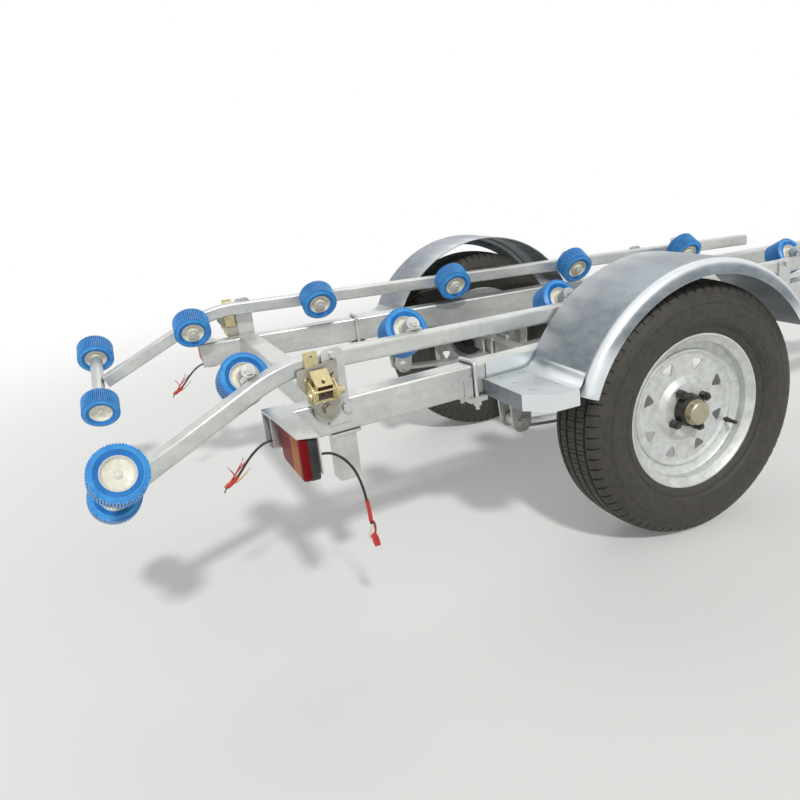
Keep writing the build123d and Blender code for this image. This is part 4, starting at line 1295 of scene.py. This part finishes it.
FRONT_LENGTH = 0.201
FRONT_ROUTE = ((-886, -560, 425), (-872, -560, 425), (-856, -560, 418), (-838, -560, 402), (-822, -560, 376),
               (-812, -560, 340), (-807, -560, 300), (-805, -560, 262))
REAR_LENGTH = 0.141
REAR_ROUTE = ((-926, -395, 414), (-946, -395, 414), (-968, -395, 402), (-988, -395, 384), (-1006, -396, 363),
              (-1024, -397, 346), (-1040, -398, 339))
RED_TAPE = CoreInsulation(base="#c8332a", film="#8a2a20")
ORANGE_TAPE = CoreInsulation(base="#dd5a36", film="#a04428")
RED_CORE = CoreInsulation(base="#d2403f", film="#9a3530")
WHITE_CORE = CoreInsulation(base="#e9dfc6", film="#b8a888")
BROWN_CORE = CoreInsulation(base="#5c4316", film="#3a2c14")
YELLOW_CORE = CoreInsulation(base="#d8a94e", film="#96702e")
TEAL_CORE = CoreInsulation(base="#5c7a78", film="#3a4a48")
BARE_TIP = ZincPlate(plate="#e6e4dc", dulled="#b9b6aa")
FRONT_CORES = (
    Core(RED_TAPE, 4.0, ((-808.0, -560, 312), (-806.6, -560, 300), (-805.4, -560, 282), (-805.0, -560, 268))),
    Core(WHITE_CORE, 1.3, ((-805, -561, 270), (-804, -561, 256), (-812, -561, 246), (-813, -561, 232),
                           (-804, -560, 228))),
    Core(WHITE_CORE, 1.2, ((-804, -559, 270), (-803, -559, 254), (-808, -559, 242), (-806, -559, 226))),
    Core(BROWN_CORE, 1.3, ((-803, -560, 270), (-799, -560, 256), (-799, -560, 244), (-803, -560, 230))),
    Core(RED_CORE, 1.3, ((-803, -562, 270), (-797, -562, 262), (-798, -562, 246), (-801, -561, 230))),
    Core(RED_TAPE, 3.4, ((-803, -560, 240), (-799, -561, 228), (-797, -561, 216))),
    Core(RED_CORE, 3.6, ((-806, -559, 238), (-804, -559, 226), (-800, -560, 213))),
    Core(RED_TAPE, 3.0, ((-799, -558, 236), (-794, -558, 224), (-794, -558, 212))),
)
REAR_CORES = (
    Core(RED_TAPE, 3.9, ((-1012, -396, 357), (-1024, -397, 347), (-1034, -397.5, 341.5))),
    Core(ORANGE_TAPE, 3.0, ((-1028, -397, 349), (-1034, -398, 347), (-1040, -398, 341))),
    Core(RED_CORE, 1.3, ((-1032, -397, 346), (-1022, -398, 358), (-1008, -399, 374), (-1001, -399, 384))),
    Core(BARE_TIP, 1.5, ((-1001, -399, 384), (-998, -399, 389), (-996, -399, 394))),
    Core(RED_CORE, 1.3, ((-1030, -397, 346), (-1018, -397, 362), (-1003, -397, 375), (-995, -397, 382))),
    Core(BARE_TIP, 1.5, ((-995, -397, 382), (-992, -397, 385), (-989, -397, 388))),
    Core(RED_CORE, 1.2, ((-1028, -396, 348), (-1018, -396, 358), (-1020, -396, 368), (-1024, -396, 374))),
    Core(BARE_TIP, 1.4, ((-1024, -396, 374), (-1027, -396, 378), (-1029, -396, 382))),
    Core(YELLOW_CORE, 1.3, ((-1028, -398, 345), (-1016, -398, 346), (-1004, -398, 354), (-994, -398, 362))),
    Core(BARE_TIP, 1.5, ((-994, -398, 362), (-990, -398, 366), (-984, -398, 370))),
    Core(TEAL_CORE, 1.4, ((-1034, -398, 341), (-1040, -398, 339), (-1043, -398, 331))),
)


@dataclass(frozen=True)
class TailLamp:
    """Lamp with a banded lens over a black housing, and the grommet of its cable.

    The crown has points (inset all round, depth below the lens's front), the grommet points
    (along the cable, radius), and exit_mm is the cable's Y and Z on the right lamp's back.
    """

    side: Side
    low: Vector
    high: Vector
    lens: float = 14.0 * MM
    body: float = 16.0 * MM
    step: float = 1.0 * MM
    squeeze: float = 2.0 * MM
    foot_radius: float = 16.0 * MM
    top_radius: float = 6.0 * MM
    least_radius: float = 1.0 * MM
    columns: int = 48
    amber: Pair = (0.56, 0.93)
    crown_mm: Profile = ((6.0, 0.0), (3.2, 0.9), (1.4, 2.6), (0.4, 5.0), (0.0, 8.0))
    exit_mm: Pair = (560.0, 425.0)
    grommet_mm: Profile = ((-1, 0), (-1, 6.8), (8.4, 6.8), (9.6, 5.6), (10, 2.7), (0, 2.7))
    grommet_steps: int = 32

    def share(self, column: float) -> float:
        """Share of the lamp's width at a column, close together at both sides."""
        return (1 - math.cos(math.pi * column / self.columns)) / 2

    def loop(self, x: float, inset: float, squeeze: float) -> list[Triple]:
        """Outline of the lamp, along its foot from inboard to outboard and back along its top.

        Args:
            x: Place along the trailer.
            inset: How far the outline is moved in all round.
            squeeze: How far its two sides are moved in besides.

        Returns:
            Points of the outline.
        """
        inboard, outboard = (self.low.y, self.high.y) if self.side is Side.LEFT else (self.high.y, self.low.y)
        start = inboard + self.side.value * (inset + squeeze)
        end = outboard - self.side.value * (inset + squeeze)
        foot = max(self.foot_radius - inset, self.least_radius)
        head = max(self.top_radius - inset, self.least_radius)
        bottom, top = [], []
        for number in range(self.columns + 1):
            y = start + (end - start) * self.share(number)
            edge = min(abs(y - start), abs(y - end))
            rise, drop = (r - math.sqrt(r ** 2 - max(r - edge, 0) ** 2) for r in (foot, head))
            bottom.append((x, y, self.low.z + inset + rise))
            top.append((x, y, self.high.z - inset - drop))
        return bottom + top[::-1]

    def band(self, column: int) -> Finish:
        """Colour band of a column of the lens."""
        begin, end = self.amber
        return AmberLens() if begin < self.share(column + 0.5) < end else LampLens()

    def block(self, maker: MeshMaker, levels: Sequence[Triple], banded: bool) -> None:
        """Add one block of the lamp.

        Args:
            maker: Collector of the faces.
            levels: Place along X, inset and squeeze of each ring, the open end first.
            banded: Whether its columns take the lens's bands.
        """
        rings = [self.loop(*level) for level in levels]
        walls = maker.grid(rings, LampLens() if banded else MouldedPlastic())
        count = len(rings[0])
        for number, face in enumerate(walls):
            place = number % count
            column = place if place < self.columns else count - 2 - place
            if banded and 0 <= column < self.columns:
                maker.dress(face, self.band(column))
        last = [face.verts[3] for face in walls[-count:]]
        for column in range(self.columns):
            corners = (last[column], last[column + 1], last[count - 2 - column], last[count - 1 - column])
            maker.dress(maker.mesh.faces.new(corners), self.band(column) if banded else MouldedPlastic())

    def build(self, maker: MeshMaker) -> None:
        """Add the lamp's housing, lens and grommet.

        Args:
            maker: Collector of the faces.
        """
        front = self.low.x
        joint = front + self.lens
        back = joint + self.body
        housing = ((back, 0, 0), (joint + self.step, 0, 0), (joint, self.step, 0))
        self.block(maker, housing, False)
        crown = [(front + deep, inset, self.squeeze) for deep, inset in metres(self.crown_mm)]
        self.block(maker, [(joint, 0.0, self.squeeze)] + crown, True)
        across, up = self.exit_mm
        place = (back, self.side.value * across * MM, up * MM)
        maker.spin(metres(self.grommet_mm), aim(place, (1, 0, 0)), self.grommet_steps)


def tail_lamps(node: Object) -> None:
    """Build both tail lamps in the place of their node.

    Args:
        node: CAD node of the lamps.
    """
    maker = MeshMaker(MouldedPlastic(), LampLens(), AmberLens())
    for side in Side:
        TailLamp(side, *side_box(node, side)).build(maker)
    settle(maker.piece(node.name + "_lenses"), "frame", (node.name,))


@dataclass(frozen=True)
class WoundStrap:
    """Woven strap wound round a spool in a spiral, its free end laid down on the last turn."""

    centre: Vector
    axis: Triple
    inner: float
    outer: float
    width: float
    turns: int
    steps: int = 40
    thick_share: float = 0.88
    soft_share: float = 0.3

    def build(self, maker: MeshMaker) -> None:
        """Add the strap.

        Args:
            maker: Collector of the faces.
        """
        pitch = (self.outer - self.inner) / (self.turns + 1)
        thick, frame = self.thick_share * pitch, aim(self.centre, self.axis)
        half, soft = self.width / 2, self.soft_share * thick
        section = ((-half, soft), (soft - half, 0), (half - soft, 0), (half, soft), (half, thick - soft),
                   (half - soft, thick), (soft - half, thick), (-half, thick - soft))
        layer = maker.mesh.loops.layers.uv.verify()
        rings, lengths, length = [], [], 0.0
        for number in range(self.turns * self.steps + 1):
            turn = 2 * math.pi * number / self.steps
            base = self.inner + pitch * number / self.steps
            rings.append([around(frame, base + up, turn, along) for along, up in section])
            lengths.append(length / MM)
            length += base * 2 * math.pi / self.steps
        count = len(section)
        for number, face in enumerate(maker.grid(rings)):
            row, column = divmod(number, count)
            after = (column + 1) % count
            corners = ((row, column), (row, after), (row + 1, after), (row + 1, column))
            for corner, (k, i) in zip(face.loops, corners):
                corner[layer].uv = (lengths[k], section[i][0] / MM)


def wound_straps(nodes: dict[str, Object]) -> None:
    """Build the webbing of the ratchets and of the winch in the place of their nodes.

    Args:
        nodes: CAD nodes by name.
    """
    maker = MeshMaker(Webbing())
    for side in Side:
        low, high = side_box(nodes["ratchet_webbing"], side)
        axis = (math.cos(RAIL_YAW), -side.value * math.sin(RAIL_YAW), 0)
        strap = WoundStrap((low + high) / 2, axis, inner=8.1 * MM, outer=11.6 * MM, width=30 * MM, turns=3)
        strap.build(maker)
    settle(maker.piece("ratchet_webbing_wound"), "frame", ("ratchet_webbing",))
    maker = MeshMaker(Webbing())
    low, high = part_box("winch_strap")
    strap = WoundStrap((low + high) / 2, (0, 1, 0), inner=10.2 * MM, outer=34 * MM, width=high.y - low.y,
                       turns=13)
    strap.build(maker)
    settle(maker.piece("winch_strap_wound"), "winch_drum", ("winch_strap",))


@dataclass(frozen=True)
class ValveStem:
    """Snap-in tyre valve: rubber stem with a ribbed cap, out through the rim.

    The profiles are points (along the stem, radius).
    """

    side: Side
    centre: Vector
    turn: float = math.radians(-24.0)
    reach: float = 139.0 * MM
    outward: float = 26.0 * MM
    stem_mm: Profile = ((-2, 0), (-2, 8.0), (1, 8.0), (3, 6.4), (9, 5.4), (20, 4.4), (22, 4.0))
    cap_mm: Profile = ((21, 3.6), (21.4, 4.6), (32.6, 4.6), (34, 3.6), (34, 0))
    steps: int = 28

    def build(self) -> None:
        """Build the stem on its wheel."""
        maker = MeshMaker(BlackRubber(), MouldedPlastic())
        from_hub = (self.reach * math.cos(self.turn), self.side.value * self.outward,
                    self.reach * math.sin(self.turn))
        frame = aim(self.centre + Vector(from_hub), (0, self.side.value, 0))
        maker.spin(metres(self.stem_mm), frame, self.steps)
        maker.spin(metres(self.cap_mm), frame, self.steps, MouldedPlastic())
        settle(maker.piece("valve_stem_" + self.side.word), "wheel_" + self.side.word)


@dataclass(frozen=True)
class CarriedParts:
    """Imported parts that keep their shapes, with finishes by the start of their names and eased edges."""

    nodes: dict[str, Object]
    edge: float = 0.7 * MM
    edge_steps: int = 2
    same_place: float = 0.005 * MM
    sharp_deg: float = 35.0
    finishes: tuple[tuple[Finish, tuple[str, ...]], ...] = (
        (GalvanisedSheet(), ("mudguard",)),
        (SilverPaint(), ("rim",)),
        (BlackEnamel(), ("hub",)),
        (GreaseCapPlate(), ("grease",)),
        (YellowZinc(), ("ratchets",)),
        (DullZincPlate(), ("ratchet_plates",)),
        (BlackRubber(), ("jockey_tyre",)),
        (BlueRubber(), ("snubber_roller",)),
        (ZincPlate(), ("jockey_rim", "jockey_leg", "jockey_tube", "jockey_crank", "jockey_fork", "coupler",
                       "winch_frame", "winch_drum")),
    )

    def finish_of(self, name: str) -> Finish:
        """Finish of a node by its name."""
        named = (finish for finish, starts in self.finishes if name.startswith(starts))
        return next(named, GalvanisedSteel())

    def build(self) -> None:
        """Dress every node that still shows."""
        for name, node in self.nodes.items():
            if node.hide_render:
                continue
            finish = self.finish_of(name)
            node.data.materials.clear()
            node.data.materials.append(material(finish))
            weld = node.modifiers.new("weld", "WELD")
            weld.merge_threshold = self.same_place
            bevel = node.modifiers.new("eased_edges", "BEVEL")
            bevel.width = self.edge
            bevel.segments = self.edge_steps
            bevel.limit_method = "ANGLE"
            bevel.angle_limit = math.radians(self.sharp_deg)
            bevel.harden_normals = True
            LOG.info("%s dressed in %s", name, type(finish).__name__)


def cradle(joints: Sequence[dict[str, Any]]) -> None:
    """Build the cradle's end shafts, roller pins and rollers in the place of their nodes.

    Args:
        joints: Joints of the frame.
    """
    kinds = ("end_roller", "side_roller")
    rollers = {joint["child"]: joint for joint in joints if joint["child"].startswith(kinds)}
    places = {name: Vector(joint["pos_m"]) for name, joint in rollers.items()}
    shafts = MeshMaker(GalvanisedSteel())
    for side in Side:
        outer, inner = (places["end_roller_%s_%s" % (which, side.word)] for which in ("outer", "inner"))
        EndShaft(outer, inner).build(shafts)
    settle(shafts.piece("end_shafts_turned"), "frame", ("end_shafts",))
    pins = MeshMaker(GalvanisedSteel())
    for name, joint in rollers.items():
        if name.startswith("side_roller"):
            side = Side[name.rsplit("_", 1)[1].upper()]
            RollerPin(side, places[name], Vector(joint["axis"])).build(pins)
    settle(pins.piece("roller_pins_bolted"), "frame", ("roller_pins",))
    caps = {"end_roller_outer": Cap.AHEAD, "end_roller_inner": Cap.BEHIND}
    for name, joint in rollers.items():
        cap = caps.get(name.rsplit("_", 1)[0], Cap.NONE)
        HullRoller(name, tuple(joint["pos_m"]), tuple(joint["axis"]), cap).build()


def main() -> None:
    """Build the studio and every sub-assembly in order."""
    logging.basicConfig(level=logging.INFO, format="%(message)s")
    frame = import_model()
    low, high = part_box("tyre_right")
    axle_x = ((low + high) / 2).x
    Studio(axle_x).build()
    LooseCable("cable_front_right", FRONT_LENGTH, FRONT_ROUTE, FRONT_CORES, axle_x).build()
    LooseCable("cable_rear_right", REAR_LENGTH, REAR_ROUTE, REAR_CORES, axle_x).build()
    LooseCable("cable_rear_left", REAR_LENGTH, REAR_ROUTE, REAR_CORES, axle_x, Side.LEFT).build()
    for side in Side:
        low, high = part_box("tyre_" + side.word)
        RoadTyre(side, (low + high) / 2).build()
        ValveStem(side, (low + high) / 2).build()
    tail_lamps(frame["nodes"]["tail_lamps"])
    wound_straps(frame["nodes"])
    cradle(frame["joints"])
    CarriedParts(frame["nodes"]).build()


if __name__ == "__main__":
    main()
